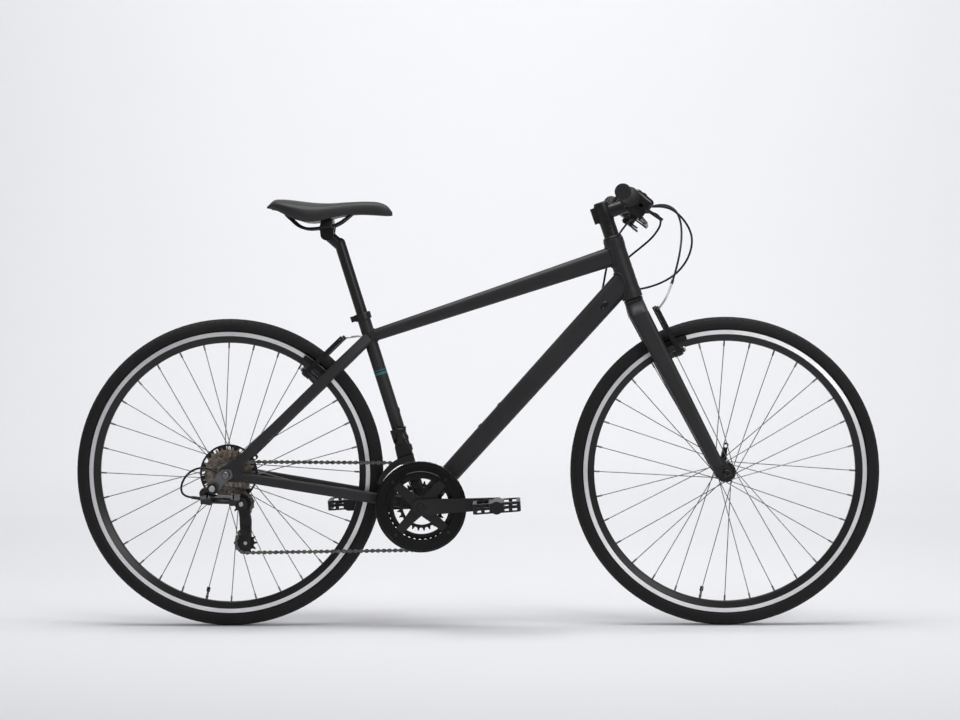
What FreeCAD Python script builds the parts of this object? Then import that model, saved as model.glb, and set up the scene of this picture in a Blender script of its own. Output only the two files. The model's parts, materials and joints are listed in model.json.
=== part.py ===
"""Flat-bar hybrid bicycle with 700 mm wheels, rim brakes and a triple crank, in millimetres.

+X points forward, +Y to the rider's left and +Z up. The origin lies on the ground midway between the axles.
"""
import FreeCAD, Part
import math
import os

import Sketcher

Vector = FreeCAD.Vector
LEFT = Vector(0, 1, 0)
UP = Vector(0, 0, 1)
FORE = Vector(1, 0, 0)
SIDES = {"left": 1, "right": -1}

# Driving dimensions, in millimetres and degrees unless the name says count or teeth.
SIZES = {
    # Wheels
    "wheel_base": 1112,
    "tyre_radius": 346,
    "tyre_width": 35,
    "tyre_wall": 3,
    "rim_radius": 318,
    "rim_depth": 26,
    "rim_width": 24,
    "rim_wall": 2,
    "bead_depth": 8,
    "spoke_radius": 1,
    "spoke_count": 32,
    "nipple_radius": 2,
    "nipple_length": 12,
    "flange_radius": 23,
    "flange_thickness": 3,
    "spoke_circle": 20,
    "hub_radius": 13,
    "hub_bore": 9,
    "front_flange_offset": 31,
    "rear_flange_left": 33,
    "rear_flange_right": 17,
    "front_drop_width": 100,
    "rear_drop_width": 135,
    "axle_radius": 5,
    "skewer_radius": 2.5,
    "nut_radius": 9,
    "drop_thickness": 6,
    # Frame
    "chain_stay_length": 439,
    "bracket_drop": 73,
    "seat_angle": 72.8,
    "head_angle": 71.4,
    "fork_rake": 70,
    "fork_length": 423,
    "lower_stack": 14,
    "head_length": 132,
    "head_radius": 23,
    "head_waist": 21.8,
    "head_bore": 20,
    "seat_length": 447,
    "seat_radius": 14.7,
    "post_radius": 12.7,
    "post_clearance": 0.1,
    "shell_radius": 20,
    "shell_width": 68,
    "shell_bore": 17.4,
    "top_on_seat": 394.5,
    "top_on_head": 100,
    "top_rear_depth": 27,
    "top_front_depth": 44.5,
    "top_rear_width": 27,
    "top_front_width": 36,
    "down_on_head": 43,
    "down_low_depth": 43,
    "down_high_depth": 51,
    "down_low_width": 38,
    "down_high_width": 42,
    "tube_wall": 2,
    "stay_depth": 25,
    "stay_width": 14,
    "stay_tip_depth": 20,
    "bridge_radius": 6,
    "stud_radius": 4,
    "stud_spacing": 41,
    "front_stud_height": 283,
    "rear_stud_height": 285,
    "bottle_spacing": 64,
    "boss_radius": 5,
    "boss_bore": 2.1,
    "boss_length": 10,
    "down_boss_height": 219,
    "seat_boss_height": 155.5,
    # Fork and cockpit
    "steerer_radius": 14.3,
    "steerer_wall": 2,
    "cup_flange": 4,
    "cup_depth": 10,
    "bearing_gap": 0.08,
    "blade_top_depth": 43,
    "blade_tip_depth": 28,
    "blade_top_width": 25,
    "blade_tip_width": 17,
    "crown_height": 29,
    "spacer_radius": 17,
    "spacer_height": 11,
    "stem_length": 70,
    "stem_height": 40,
    "stem_radius": 18,
    "bar_clamp_radius": 21,
    "bar_clamp_width": 42,
    "bar_centre_radius": 15.9,
    "bar_radius": 11.1,
    "bar_wall": 1.8,
    "bar_half_width": 315,
    "bar_bend": 70,
    "bar_sweep": 38,
    "bar_rise": 12,
    "grip_radius": 16,
    "grip_flange": 22,
    "grip_length": 128,
    "perch_offset": 143,
    "lever_droop": 36,
    "lever_pivot": 38,
    "lever_thickness": 7,
    # Drive
    "chain_pitch": 12.7,
    "chain_plane": 56,
    "ring_spacing": 8,
    "ring_thickness": 2,
    "ring_teeth": 48,
    "middle_teeth": 38,
    "small_teeth": 26,
    "sprocket_teeth": 14,
    "sprocket_spacing": 5,
    "sprocket_thickness": 1.8,
    "pulley_teeth": 11,
    "roller_radius": 3.85,
    "plate_half_height": 4.1,
    "crank_length": 170,
    "crank_angle": 3,
    "crank_thickness": 13,
    "crank_inner_face": 69,
    "guard_radius": 101.5,
    "pedal_length": 104,
    "pedal_width": 96,
    "pedal_height": 28,
    "pedal_axle_radius": 6,
    "pedal_tilt": 4,
    "cage_length": 89,
    # Seat
    "post_height": 633,
    "post_insert": 110,
    "post_wall": 2,
    "rail_radius": 3.5,
    "rail_spacing": 22,
    "saddle_length": 279,
    "saddle_half_width": 82,
    "saddle_top": 962,
    # Brakes and cables
    "arm_offset": 40,
    "arm_thickness": 10,
    "arm_length": 108,
    "pad_gap": 2,
    "pad_thickness": 11,
    "housing_radius": 2.4,
    "wire_radius": 0.9,
}

doc = FreeCAD.newDocument("hybrid_bike")
sheet = doc.addObject("Spreadsheet::Sheet", "Sizes")
for row, (alias, value) in enumerate(SIZES.items(), 1):
    sheet.set(f"A{row}", alias)
    sheet.set(f"B{row}", str(value))
    sheet.setAlias(f"B{row}", alias)
doc.recompute()


class Size:
    """A number together with the sheet formula that gives it, so that both follow one piece of arithmetic."""

    def __init__(self, number, formula):
        self.number = float(number)
        self.formula = formula

    def __float__(self):
        return self.number

    def combine(self, other, symbol, number, swapped=False):
        text = other.formula if isinstance(other, Size) else repr(float(other))
        pair = (text, self.formula) if swapped else (self.formula, text)
        return Size(number, f"({pair[0]} {symbol} {pair[1]})")

    def __add__(self, other):
        return self.combine(other, "+", float(self) + float(other))

    __radd__ = __add__

    def __sub__(self, other):
        return self.combine(other, "-", float(self) - float(other))

    def __rsub__(self, other):
        return self.combine(other, "-", float(other) - float(self), swapped=True)

    def __mul__(self, other):
        return self.combine(other, "*", float(self) * float(other))

    __rmul__ = __mul__

    def __truediv__(self, other):
        return self.combine(other, "/", float(self) / float(other))

    def __neg__(self):
        return self * -1


class Sheet:
    """Sizes of the sheet by their alias."""

    def __getattr__(self, alias):
        return Size(sheet.get(alias), f"Sizes.{alias}")


S = Sheet()


def number(alias):
    return float(sheet.get(alias))


def bind(item, prop, size):
    """Ties a property to the sheet, or sets it where the size is a worked-out number."""
    if isinstance(size, Size):
        item.setExpression(prop, size.formula)
    else:
        setattr(item, prop, float(size))


def frame_at(origin, z_axis, x_axis=None):
    """Placement whose local Z and X follow the two directions."""
    z_axis = Vector(z_axis).normalize()
    if x_axis is None:
        return FreeCAD.Placement(Vector(origin), FreeCAD.Rotation(UP, z_axis))
    y_axis = z_axis.cross(Vector(x_axis)).normalize()
    turn = FreeCAD.Rotation(y_axis.cross(z_axis), y_axis, z_axis, "ZXY")
    return FreeCAD.Placement(Vector(origin), turn)


def moved(where, x, y, z):
    """The placement shifted along its own axes."""
    return where.multiply(FreeCAD.Placement(Vector(x, y, z), FreeCAD.Rotation()))


def as_vector(pair):
    return Vector(float(pair[0]), float(pair[1]), 0)


def rounded(corners):
    """Start, end and arc of the rounding at each corner of a closed outline, with the way it turns."""
    points = [as_vector(corner) for corner in corners]
    stops = []
    for index, corner in enumerate(corners):
        if len(corner) < 3:
            stops.append((corner, corner, None))
            continue
        here = points[index]
        back = (points[index - 1] - here).normalize()
        ahead = (points[(index + 1) % len(points)] - here).normalize()
        half = back.getAngle(ahead) / 2
        radius = corner[2]
        start, end = [(corner[0] + radius * (way.x / math.tan(half)), corner[1] + radius * (way.y / math.tan(half)))
                      for way in (back, ahead)]
        middle = here + (back + ahead).normalize() * (float(radius) * (1 / math.sin(half) - 1))
        turns_left = back.cross(ahead).z < 0
        first, last = (start, end) if turns_left else (end, start)
        arc = Part.Arc(as_vector(first), middle, as_vector(last))
        stops.append((start, end, (arc, turns_left)))
    return stops


def outline(body, corners, plane="XY_Plane", height=0):
    """Closed sketch of lines and corner arcs, each end and radius tied to the sheet."""
    sketch = body.newObject("Sketcher::SketchObject", f"{body.Name}_outline")
    support = next(item for item in body.Origin.OriginFeatures if item.Role == plane)
    sketch.AttachmentSupport = [(support, "")]
    sketch.MapMode = "FlatFace"
    sketch.AttachmentOffset = FreeCAD.Placement(Vector(0, 0, float(height)), FreeCAD.Rotation())
    if isinstance(height, Size):
        sketch.setExpression("AttachmentOffset.Base.z", height.formula)
    stops = rounded(corners)
    lines = []
    for index, (_, leave, _) in enumerate(stops):
        enter = stops[(index + 1) % len(stops)][0]
        lines.append(sketch.addGeometry(Part.LineSegment(as_vector(leave), as_vector(enter))))
    rules = []
    formulas = []

    def hold(size, kind, *where):
        if isinstance(size, Size):
            formulas.append((len(rules), size.formula))
        rules.append(Sketcher.Constraint(kind, *where, float(size)))

    def hold_point(pair, line, position):
        hold(pair[0], "DistanceX", -1, 1, line, position)
        hold(pair[1], "DistanceY", -1, 1, line, position)

    for index, (enter, leave, arc) in enumerate(stops):
        before, after = lines[index - 1], lines[index]
        hold_point(leave, after, 1)
        if arc is None:
            rules.append(Sketcher.Constraint("Coincident", before, 2, after, 1))
            continue
        hold_point(enter, before, 2)
        bend = sketch.addGeometry(arc[0])
        first, last = (1, 2) if arc[1] else (2, 1)
        rules.append(Sketcher.Constraint("Coincident", before, 2, bend, first))
        rules.append(Sketcher.Constraint("Coincident", bend, last, after, 1))
        hold(corners[index][2], "Radius", bend)
    sketch.addConstraint(rules)
    for index, formula in formulas:
        sketch.setExpression(f"Constraints[{index}]", formula)
    return sketch


def new_body(name, where):
    body = doc.addObject("PartDesign::Body", name)
    body.Placement = where
    return body


def turned(name, corners, where, angle=360):
    """Solid of revolution about local Z from corners of radius and height."""
    body = new_body(name, where)
    sketch = outline(body, corners, "XZ_Plane")
    turn = body.newObject("PartDesign::Revolution", f"{name}_turn")
    turn.Profile = sketch
    turn.ReferenceAxis = (sketch, ["V_Axis"])
    turn.Angle = angle
    return body


def plate(name, corners, thickness, where):
    """Flat piece, centred on local XY."""
    body = new_body(name, where)
    pad = body.newObject("PartDesign::Pad", f"{name}_pad")
    pad.Profile = outline(body, corners)
    pad.SideType = "Symmetric"
    bind(pad, "Length", thickness)
    body.Tip = pad
    return body


def lofted(name, stations, where, ruled=False):
    """Loft along local Z through outlines given as (height, corners)."""
    body = new_body(name, where)
    sketches = [outline(body, corners, "XY_Plane", height) for height, corners in stations]
    loft = body.newObject("PartDesign::AdditiveLoft", f"{name}_loft")
    loft.Profile = sketches[0]
    loft.Sections = sketches[1:]
    loft.Ruled = ruled
    return body


def box_section(depth, width, radius, x=0, y=0):
    """Rounded rectangle: depth along local X, width along local Y."""
    return [
        (x - depth / 2, y - width / 2, radius),
        (x + depth / 2, y - width / 2, radius),
        (x + depth / 2, y + width / 2, radius),
        (x - depth / 2, y + width / 2, radius),
    ]


def cylinder(radius, length, where):
    rod = doc.addObject("Part::Cylinder", "rod")
    bind(rod, "Radius", radius)
    bind(rod, "Height", length)
    rod.Placement = where
    return rod


def rod_between(radius, start, end):
    return cylinder(radius, (end - start).Length, frame_at(start, end - start))


def block(length, width, height, where):
    """Box centred on its placement in local X and Y, rising along local Z."""
    box = doc.addObject("Part::Box", "block")
    bind(box, "Length", length)
    bind(box, "Width", width)
    bind(box, "Height", height)
    shift = Vector(-float(length) / 2, -float(width) / 2, 0)
    box.Placement = where.multiply(FreeCAD.Placement(shift, FreeCAD.Rotation()))
    return box


def cut(base, *tools):
    for tool in tools:
        result = doc.addObject("Part::Cut", "cut")
        result.Base = base
        result.Tool = tool
        base = result
    return base


def overlap(base, tool):
    result = doc.addObject("Part::Common", "overlap")
    result.Base = base
    result.Tool = tool
    return result


def join(*pieces):
    result = doc.addObject("Part::MultiFuse", "joined")
    result.Shapes = list(pieces)
    result.Refine = False
    return result


def group(*pieces):
    result = doc.addObject("Part::Compound", "group")
    result.Links = list(pieces)
    return result


def shaped(shape):
    item = doc.addObject("Part::Feature", "shaped")
    item.Shape = shape
    return item


NODES = []


def node(name, item):
    item.Label = name
    NODES.append(item)
    return item


# Points and directions that the pieces share.
REAR = Vector(-number("wheel_base") / 2, 0, number("tyre_radius"))
FRONT = Vector(number("wheel_base") / 2, 0, number("tyre_radius"))
bracket_run = math.sqrt(number("chain_stay_length") ** 2 - number("bracket_drop") ** 2)
BRACKET = REAR + Vector(bracket_run, 0, -number("bracket_drop"))
seat_lean = math.radians(90 - number("seat_angle"))
SEAT_UP = Vector(-math.sin(seat_lean), 0, math.cos(seat_lean))
SEAT_FORE = Vector(math.cos(seat_lean), 0, math.sin(seat_lean))
steer_lean = math.radians(90 - number("head_angle"))
STEER_UP = Vector(-math.sin(steer_lean), 0, math.cos(steer_lean))
STEER_FORE = Vector(math.cos(steer_lean), 0, math.sin(steer_lean))
HEAD_LOW = number("fork_length") + number("lower_stack")


def on_seat(height, ahead=0, left=0):
    return BRACKET + SEAT_UP * height + SEAT_FORE * ahead + LEFT * left


def on_steerer(height, ahead=0, left=0):
    """Point by its height along the steering axis above the front axle's foot on that axis."""
    return FRONT + STEER_UP * height + STEER_FORE * (ahead - number("fork_rake")) + LEFT * left


SEAT_FRAME = frame_at(BRACKET, SEAT_UP, SEAT_FORE)
STEER_FRAME = frame_at(on_steerer(0), STEER_UP, STEER_FORE)
SEAT_CLUSTER = on_seat(number("top_on_seat"))


# Frame tubes

def head_outer(name):
    """Envelope of the head tube, which also mitres the tubes that meet it."""
    low, top = S.fork_length + S.lower_stack, S.fork_length + S.lower_stack + S.head_length
    flare = S.head_length * 0.08
    return turned(name, [
        (0, low),
        (S.head_radius, low),
        (S.head_radius, low + flare),
        (S.head_waist, low + flare * 2),
        (S.head_waist, top - flare * 2),
        (S.head_radius, top - flare),
        (S.head_radius, top),
        (0, top),
    ], STEER_FRAME)


def make_head_tube():
    """Head tube with its two headset cups and their bearings, each a solid of its own."""
    bore = cylinder(S.head_bore, S.head_length, frame_at(on_steerer(HEAD_LOW), STEER_UP))
    pieces = [cut(head_outer("head_outer"), bore)]
    inner = S.steerer_radius + S.bearing_gap
    skirt = S.head_bore - 1.5
    lower_end = S.fork_length + S.lower_stack
    for height, sign in ((lower_end, 1), (lower_end + S.head_length, -1)):
        lip = height - sign * S.cup_flange
        inside = height + sign * S.cup_depth
        seat = height - sign
        pieces.append(turned("headset_cup", [
            (inner + 0.5, lip),
            (S.head_radius, lip, 1),
            (S.head_radius, height),
            (S.head_bore, height),
            (S.head_bore, inside),
            (skirt, inside),
            (skirt, seat),
            (inner + 0.5, seat),
        ], STEER_FRAME))
        pieces.append(turned("headset_bearing", [
            (inner, seat),
            (skirt, seat),
            (skirt, inside),
            (inner, inside),
        ], STEER_FRAME))
    node("head_tube", group(*pieces))


def seat_outer():
    return cylinder(S.seat_radius, S.seat_length, frame_at(BRACKET, SEAT_UP))


def shell_outer():
    return cylinder(S.shell_radius, S.shell_width,
                    frame_at(BRACKET - LEFT * number("shell_width") / 2, LEFT))


def boss(where):
    """Threaded insert for a bottle cage bolt with the room it takes in the tube."""
    flange = 1.5
    sleeve = 3.4
    outward = where.Rotation.multVec(UP)
    insert = turned("bottle_boss", [
        (S.boss_bore, flange),
        (S.boss_radius, flange, 0.5),
        (S.boss_radius, 0),
        (sleeve, 0),
        (sleeve, flange - S.boss_length),
        (S.boss_bore, flange - S.boss_length),
    ], where)
    room = join(cylinder(sleeve, S.boss_length, frame_at(where.Base, -outward)),
                cylinder(S.boss_radius, 4, where))
    return insert, room


def boss_frames(origin, along, outward, height, surface):
    spacing = number("bottle_spacing")
    return [frame_at(origin + along * (height + step * spacing) + outward * surface, outward)
            for step in (0, 1)]


def make_seat_tube():
    """Seat tube with its bottle bosses, and the bottom bracket shell it is mitred to."""
    bore = cylinder(S.post_radius + S.post_clearance, S.seat_length, frame_at(BRACKET, SEAT_UP))
    tube = cut(seat_outer(), bore, shell_outer())
    frames = boss_frames(BRACKET, SEAT_UP, SEAT_FORE, number("seat_boss_height"), number("seat_radius") - 0.4)
    bosses = [boss(where) for where in frames]
    tube = cut(tube, *[hole for _, hole in bosses])
    shell = cut(shell_outer(), cylinder(S.shell_bore, S.shell_width,
                                        frame_at(BRACKET - LEFT * number("shell_width") / 2, LEFT)))
    node("seat_tube", group(tube, shell, *[insert for insert, _ in bosses]))


def tube_between(name, start, end, sections):
    """Hollow tapered tube: sections are (share of length, depth, width, corner radius)."""
    along = end - start
    upright = LEFT.cross(along) * -1
    where = frame_at(start, along, upright)
    length = along.Length
    outer = [(share * length, box_section(depth, width, radius)) for share, depth, width, radius in sections]
    thin = S.tube_wall * 2
    inner = [(share * length, box_section(depth - thin, width - thin, radius - S.tube_wall))
             for share, depth, width, radius in sections]
    return cut(lofted(name, outer, where), lofted(f"{name}_bore", inner, where))


def make_main_tubes():
    head = on_steerer(HEAD_LOW + number("top_on_head"))
    top = tube_between("top_outer", SEAT_CLUSTER, head, [
        (0, S.top_rear_depth, S.top_rear_width, S.top_rear_depth * 0.46),
        (0.45, S.top_rear_depth * 0.6 + S.top_front_depth * 0.4, S.top_front_width * 0.9,
         S.top_rear_depth * 0.46),
        (1, S.top_front_depth, S.top_front_width, S.top_front_width * 0.4),
    ])
    node("top_tube", cut(top, seat_outer(), head_outer("head_mitre_top")))
    head = on_steerer(HEAD_LOW + number("down_on_head"))
    down = tube_between("down_outer", BRACKET, head, [
        (0, S.down_low_depth, S.down_low_width, S.down_low_width * 0.42),
        (0.5, S.down_low_depth * 0.45 + S.down_high_depth * 0.55, S.down_high_width, S.down_low_width * 0.4),
        (1, S.down_high_depth, S.down_high_width, S.down_low_width * 0.42),
    ])
    along = (head - BRACKET).normalize()
    outward = along.cross(LEFT)
    surface = number("down_low_depth") * 0.3 + number("down_high_depth") * 0.2
    frames = boss_frames(BRACKET, along, outward, number("down_boss_height"), surface)
    bosses = [boss(where) for where in frames]
    mitred = cut(down, shell_outer(), seat_outer(), head_outer("head_mitre_down"))
    node("down_tube", group(cut(mitred, *[hole for _, hole in bosses]), *[insert for insert, _ in bosses]))


def dropout(side):
    """Plate that carries the rear axle, with a slot open below it."""
    where = frame_at(REAR + LEFT * side * (number("rear_drop_width") + number("drop_thickness")) / 2,
                     Vector(0, -1, 0), FORE)
    plain = plate("dropout", [
        (-13, -15, 8),
        (-15, 13, 9),
        (20.4, 34, 3),
        (36, 20),
        (38, 4.5),
        (34, -16, 3),
    ], S.drop_thickness, where)
    slot = block(S.axle_radius * 2 + 0.2, 24, S.drop_thickness * 3,
                 frame_at(where.Base + Vector(0, number("drop_thickness") * 1.5, -12), Vector(0, -1, 0), FORE))
    hole = cylinder(S.axle_radius + 0.1, S.drop_thickness * 3,
                    frame_at(where.Base + Vector(0, -number("drop_thickness") * 1.5, 0), LEFT))
    return cut(plain, slot, hole)


STAY_BACK = (REAR - BRACKET).normalize()
SEAT_STAY_UP = (SEAT_CLUSTER - REAR).normalize()
SEAT_STAY_OUT = SEAT_STAY_UP.cross(LEFT)


def make_chain_stays():
    """Chain stays from the shell to the dropouts, bowed out past the tyre."""
    reach = number("chain_stay_length")
    tip = number("rear_drop_width") / 2 - 1
    stays = []
    for side in SIDES.values():
        where = frame_at(BRACKET, STAY_BACK, UP)
        out = side * where.Rotation.multVec(LEFT).y
        stations = [
            (0, box_section(S.stay_depth + 2, S.stay_width + 2, 6, y=22 * out)),
            (60, box_section(S.stay_depth + 1, S.stay_width, 6, y=29 * out)),
            (110, box_section(S.stay_depth, S.stay_width, 6, y=36 * out)),
            (250, box_section(S.stay_depth - 2, S.stay_width, 5.5, y=51 * out)),
            (reach - 33, box_section(S.stay_tip_depth, S.stay_width - 2, 5, y=tip * out)),
        ]
        stay = cut(lofted("chain_stay", stations, where), shell_outer(), seat_outer())
        stays.append(join(stay, dropout(side)))
    node("chain_stays", group(*stays))
    return stays


def stud(origin, direction, along_from):
    """Brake stud: a post with a shoulder at its root and a bolt head that keeps the arm on."""
    reach = number("arm_offset")
    shoulder = rod_between(7, origin + direction * along_from, origin + direction * (reach - 14))
    post = rod_between(S.stud_radius, origin + direction * along_from, origin + direction * (reach + 8))
    head = rod_between(6.5, origin + direction * (reach + 8), origin + direction * (reach + 12))
    return join(shoulder, post, head)


def make_seat_stays(chain_stays):
    """Seat stays drawn in to the seat tube, with the brake studs and the bridge over the tyre."""
    reach = (SEAT_CLUSTER - REAR).Length
    tip = number("rear_drop_width") / 2
    stays = []
    for side, lower in zip(SIDES.values(), chain_stays):
        where = frame_at(REAR, SEAT_STAY_UP, SEAT_STAY_OUT)
        out = side * where.Rotation.multVec(LEFT).y
        stations = [
            (30, box_section(S.stay_tip_depth, S.stay_width - 3, 4.5, y=(tip + 1) * out)),
            (150, box_section(S.stay_tip_depth + 2, S.stay_width - 1, 5, y=58 * out)),
            (270, box_section(S.stay_depth - 1, S.stay_width, 6, y=45 * out)),
            (350, box_section(S.stay_depth, S.stay_width, 6, y=35 * out)),
            (400, box_section(S.stay_depth, S.stay_width, 6, y=23 * out)),
            (reach, box_section(S.stay_depth + 1, S.stay_width, 6, y=9.5 * out)),
        ]
        stay = cut(lofted("seat_stay", stations, where), seat_outer(), lower)
        root = REAR + SEAT_STAY_UP * number("rear_stud_height") + LEFT * side * number("stud_spacing")
        stays.append(join(stay, stud(root, SEAT_STAY_OUT, 6)))
    middle = REAR + SEAT_STAY_UP * 388
    bridge = cut(rod_between(S.bridge_radius, middle - LEFT * 24, middle + LEFT * 24), *stays)
    node("seat_stays", group(*stays, bridge))


def make_seat_clamp():
    """Collar round the top of the seat tube, with ears behind it and their bolt."""
    low, top = S.seat_length - 12, S.seat_length + 4
    collar = turned("seat_collar", [
        (S.seat_radius, low),
        (S.seat_radius + 4, low, 1),
        (S.seat_radius + 4, top, 2),
        (S.post_radius + 0.4, top),
        (S.post_radius + 0.4, S.seat_length),
        (S.seat_radius, S.seat_length),
    ], SEAT_FRAME)
    ear_back = number("seat_radius") + 7
    ears = block(12, 16, 13, frame_at(on_seat(number("seat_length") - 10, -ear_back), SEAT_UP, SEAT_FORE))
    slit = block(30, 2, 40, frame_at(on_seat(number("seat_length") - 20, -ear_back - 2), SEAT_UP, SEAT_FORE))
    tube_room = cylinder(S.seat_radius, S.seat_length + 10, frame_at(BRACKET, SEAT_UP))
    collar = cut(join(collar, cut(ears, tube_room)), slit)
    axis = on_seat(number("seat_length") - 4, -ear_back - 1.5)
    shank = rod_between(2.5, axis - LEFT * 9.5, axis + LEFT * 8)
    head = rod_between(4.2, axis + LEFT * 8, axis + LEFT * 12)
    hole = rod_between(2.6, axis - LEFT * 15, axis + LEFT * 15)
    node("seat_clamp", group(cut(collar, hole), join(shank, head)))


# Wheels

def make_wheel(name, centre, flange_right, flange_left, side_gap):
    """Tyre, rim, spokes and hub shell of one wheel."""
    where = frame_at(centre, LEFT, FORE)
    half = S.tyre_width / 2
    wall = S.tyre_wall
    bead = S.rim_radius - S.bead_depth
    mouth = S.rim_width / 2 - S.rim_wall - 0.3
    lip = S.rim_radius + 0.4
    node(f"{name}_tyre", turned(f"{name}_tyre_body", [
        (bead, -mouth),
        (lip, -mouth),
        (lip + 2, -half, 3),
        (S.tyre_radius, -half, half - 0.1),
        (S.tyre_radius, half, half - 0.1),
        (lip + 2, half, 3),
        (lip, mouth),
        (bead, mouth),
        (bead, mouth - wall),
        (lip, mouth - wall),
        (lip + 4, half - wall, 3),
        (S.tyre_radius - wall, half - wall, half - wall - 0.1),
        (S.tyre_radius - wall, wall - half, half - wall - 0.1),
        (lip + 4, wall - half, 3),
        (lip, wall - mouth),
        (bead, wall - mouth),
    ], where))
    inside = S.rim_radius - S.rim_depth
    edge = S.rim_width / 2
    shelf = S.rim_radius - S.bead_depth - 0.2
    node(f"{name}_rim", turned(f"{name}_rim_body", [
        (S.rim_radius, -edge, 0.5),
        (S.rim_radius - 12, -edge),
        (inside, -edge * 0.42, 4),
        (inside, edge * 0.42, 4),
        (S.rim_radius - 12, edge),
        (S.rim_radius, edge, 0.5),
        (S.rim_radius, edge - S.rim_wall),
        (shelf, edge - S.rim_wall),
        (shelf, edge - S.rim_wall * 2),
        (S.rim_radius - 14, edge - S.rim_wall * 2),
        (inside + S.rim_wall * 2, edge * 0.3),
        (inside + S.rim_wall * 2, -edge * 0.3),
        (S.rim_radius - 14, S.rim_wall * 2 - edge),
        (shelf, S.rim_wall * 2 - edge),
        (shelf, S.rim_wall - edge),
        (S.rim_radius, S.rim_wall - edge),
    ], where))
    make_spokes(name, where, float(flange_right), float(flange_left))
    disc = S.flange_thickness / 2
    web = S.hub_radius
    right_end = flange_right + disc
    left_end = flange_left + disc
    return turned(f"{name}_hub_shell", [
        (S.hub_bore, -right_end - side_gap),
        (web, -right_end - side_gap),
        (web, -right_end),
        (S.flange_radius, -right_end, 0.8),
        (S.flange_radius, disc - flange_right, 0.8),
        (web, 4 - flange_right, 2),
        (web, flange_left - 4, 2),
        (S.flange_radius, flange_left - disc, 0.8),
        (S.flange_radius, left_end, 0.8),
        (web, left_end),
        (web, left_end + 6),
        (S.hub_bore, left_end + 6),
    ], where)


def make_spokes(name, where, flange_right, flange_left):
    """Spokes laced three-cross: every other spoke leans the other way, outside and inside its flange."""
    count = int(number("spoke_count"))
    step = 4 * math.pi / count
    crossing = 3
    rim_inside = number("rim_radius") - number("rim_depth") - 0.2
    lean = number("flange_thickness") / 2 + number("spoke_radius") + 1.4
    spokes = []
    for flange, half_step in ((flange_left, 0), (-flange_right, step / 2)):
        for index in range(count // 2):
            sense = 1 if index % 2 else -1
            hub_angle = index * step + half_step
            rim_angle = hub_angle + sense * crossing * step
            circle = number("spoke_circle")
            start = Vector(circle * math.cos(hub_angle), circle * math.sin(hub_angle), flange + sense * lean)
            end = Vector(rim_inside * math.cos(rim_angle), rim_inside * math.sin(rim_angle), flange * 0.06)
            along = end - start
            nipple_start = end - along * (number("nipple_length") / along.Length)
            spoke = Part.makeCylinder(number("spoke_radius"), along.Length, start, along)
            nipple = Part.makeCylinder(number("nipple_radius"), number("nipple_length"), nipple_start, along)
            whole = spoke.fuse(nipple)
            whole.Placement = where
            spokes.append(whole)
    node(f"{name}_spokes", shaped(Part.makeCompound(spokes)))


def axle_pieces(centre, drop_width, cone_left, cone_right):
    """Hollow axle with its cones and locknuts, and the skewer with its nut on the right."""
    half = drop_width / 2
    where = frame_at(centre, LEFT, FORE)
    bore = S.skewer_radius + 0.1
    cone = S.hub_bore - 0.1
    outer = half + S.drop_thickness - 1
    axle = turned("axle", [
        (bore, -outer),
        (S.axle_radius, -outer),
        (S.axle_radius, -half),
        (S.nut_radius, -half, 0.6),
        (S.nut_radius, -half + 4, 0.6),
        (cone, -half + 4),
        (cone, -cone_right),
        (S.axle_radius, -cone_right),
        (S.axle_radius, cone_left),
        (cone, cone_left),
        (cone, half - 4),
        (S.nut_radius, half - 4, 0.6),
        (S.nut_radius, half, 0.6),
        (S.axle_radius, half),
        (S.axle_radius, outer),
        (bore, outer),
    ], where)
    face = half + S.drop_thickness
    skewer = turned("skewer", [
        (0, -face - 11),
        (S.nut_radius - 1, -face - 11, 3),
        (S.nut_radius, -face),
        (S.skewer_radius, -face),
        (S.skewer_radius, face),
        (S.nut_radius, face, 1),
        (S.nut_radius - 2, face + 8, 2),
        (S.skewer_radius + 0.5, face + 8),
        (S.skewer_radius + 0.5, face + 17),
        (0, face + 17),
    ], where)
    return axle, skewer


def quick_release_lever(centre, drop_width, angle):
    """Lever that clamps the skewer: a round cam on its end and a blade with a hole, seen from the left."""
    face = drop_width / 2 + number("drop_thickness") + 8.3
    where = frame_at(centre + LEFT * (face + 4), Vector(0, -1, 0),
                     Vector(math.cos(angle), 0, math.sin(angle)))
    blade = plate("release_blade", [
        (-8, -8, 7.9),
        (12, -8, 4),
        (46, -4.5, 3),
        (60, -7, 5.5),
        (60, 7, 5.5),
        (46, 4.5, 3),
        (12, 8, 4),
        (-8, 8, 7.9),
    ], 7, where)
    hole = cylinder(3.5, 20, moved(where, 52, 0, -10))
    seat = cylinder(S.skewer_radius + 0.55, 20, moved(where, 0, 0, -10))
    return cut(blade, hole, seat)


# Drive

def pitch_radius(teeth):
    return number("chain_pitch") / (2 * math.sin(math.pi / teeth))


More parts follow.
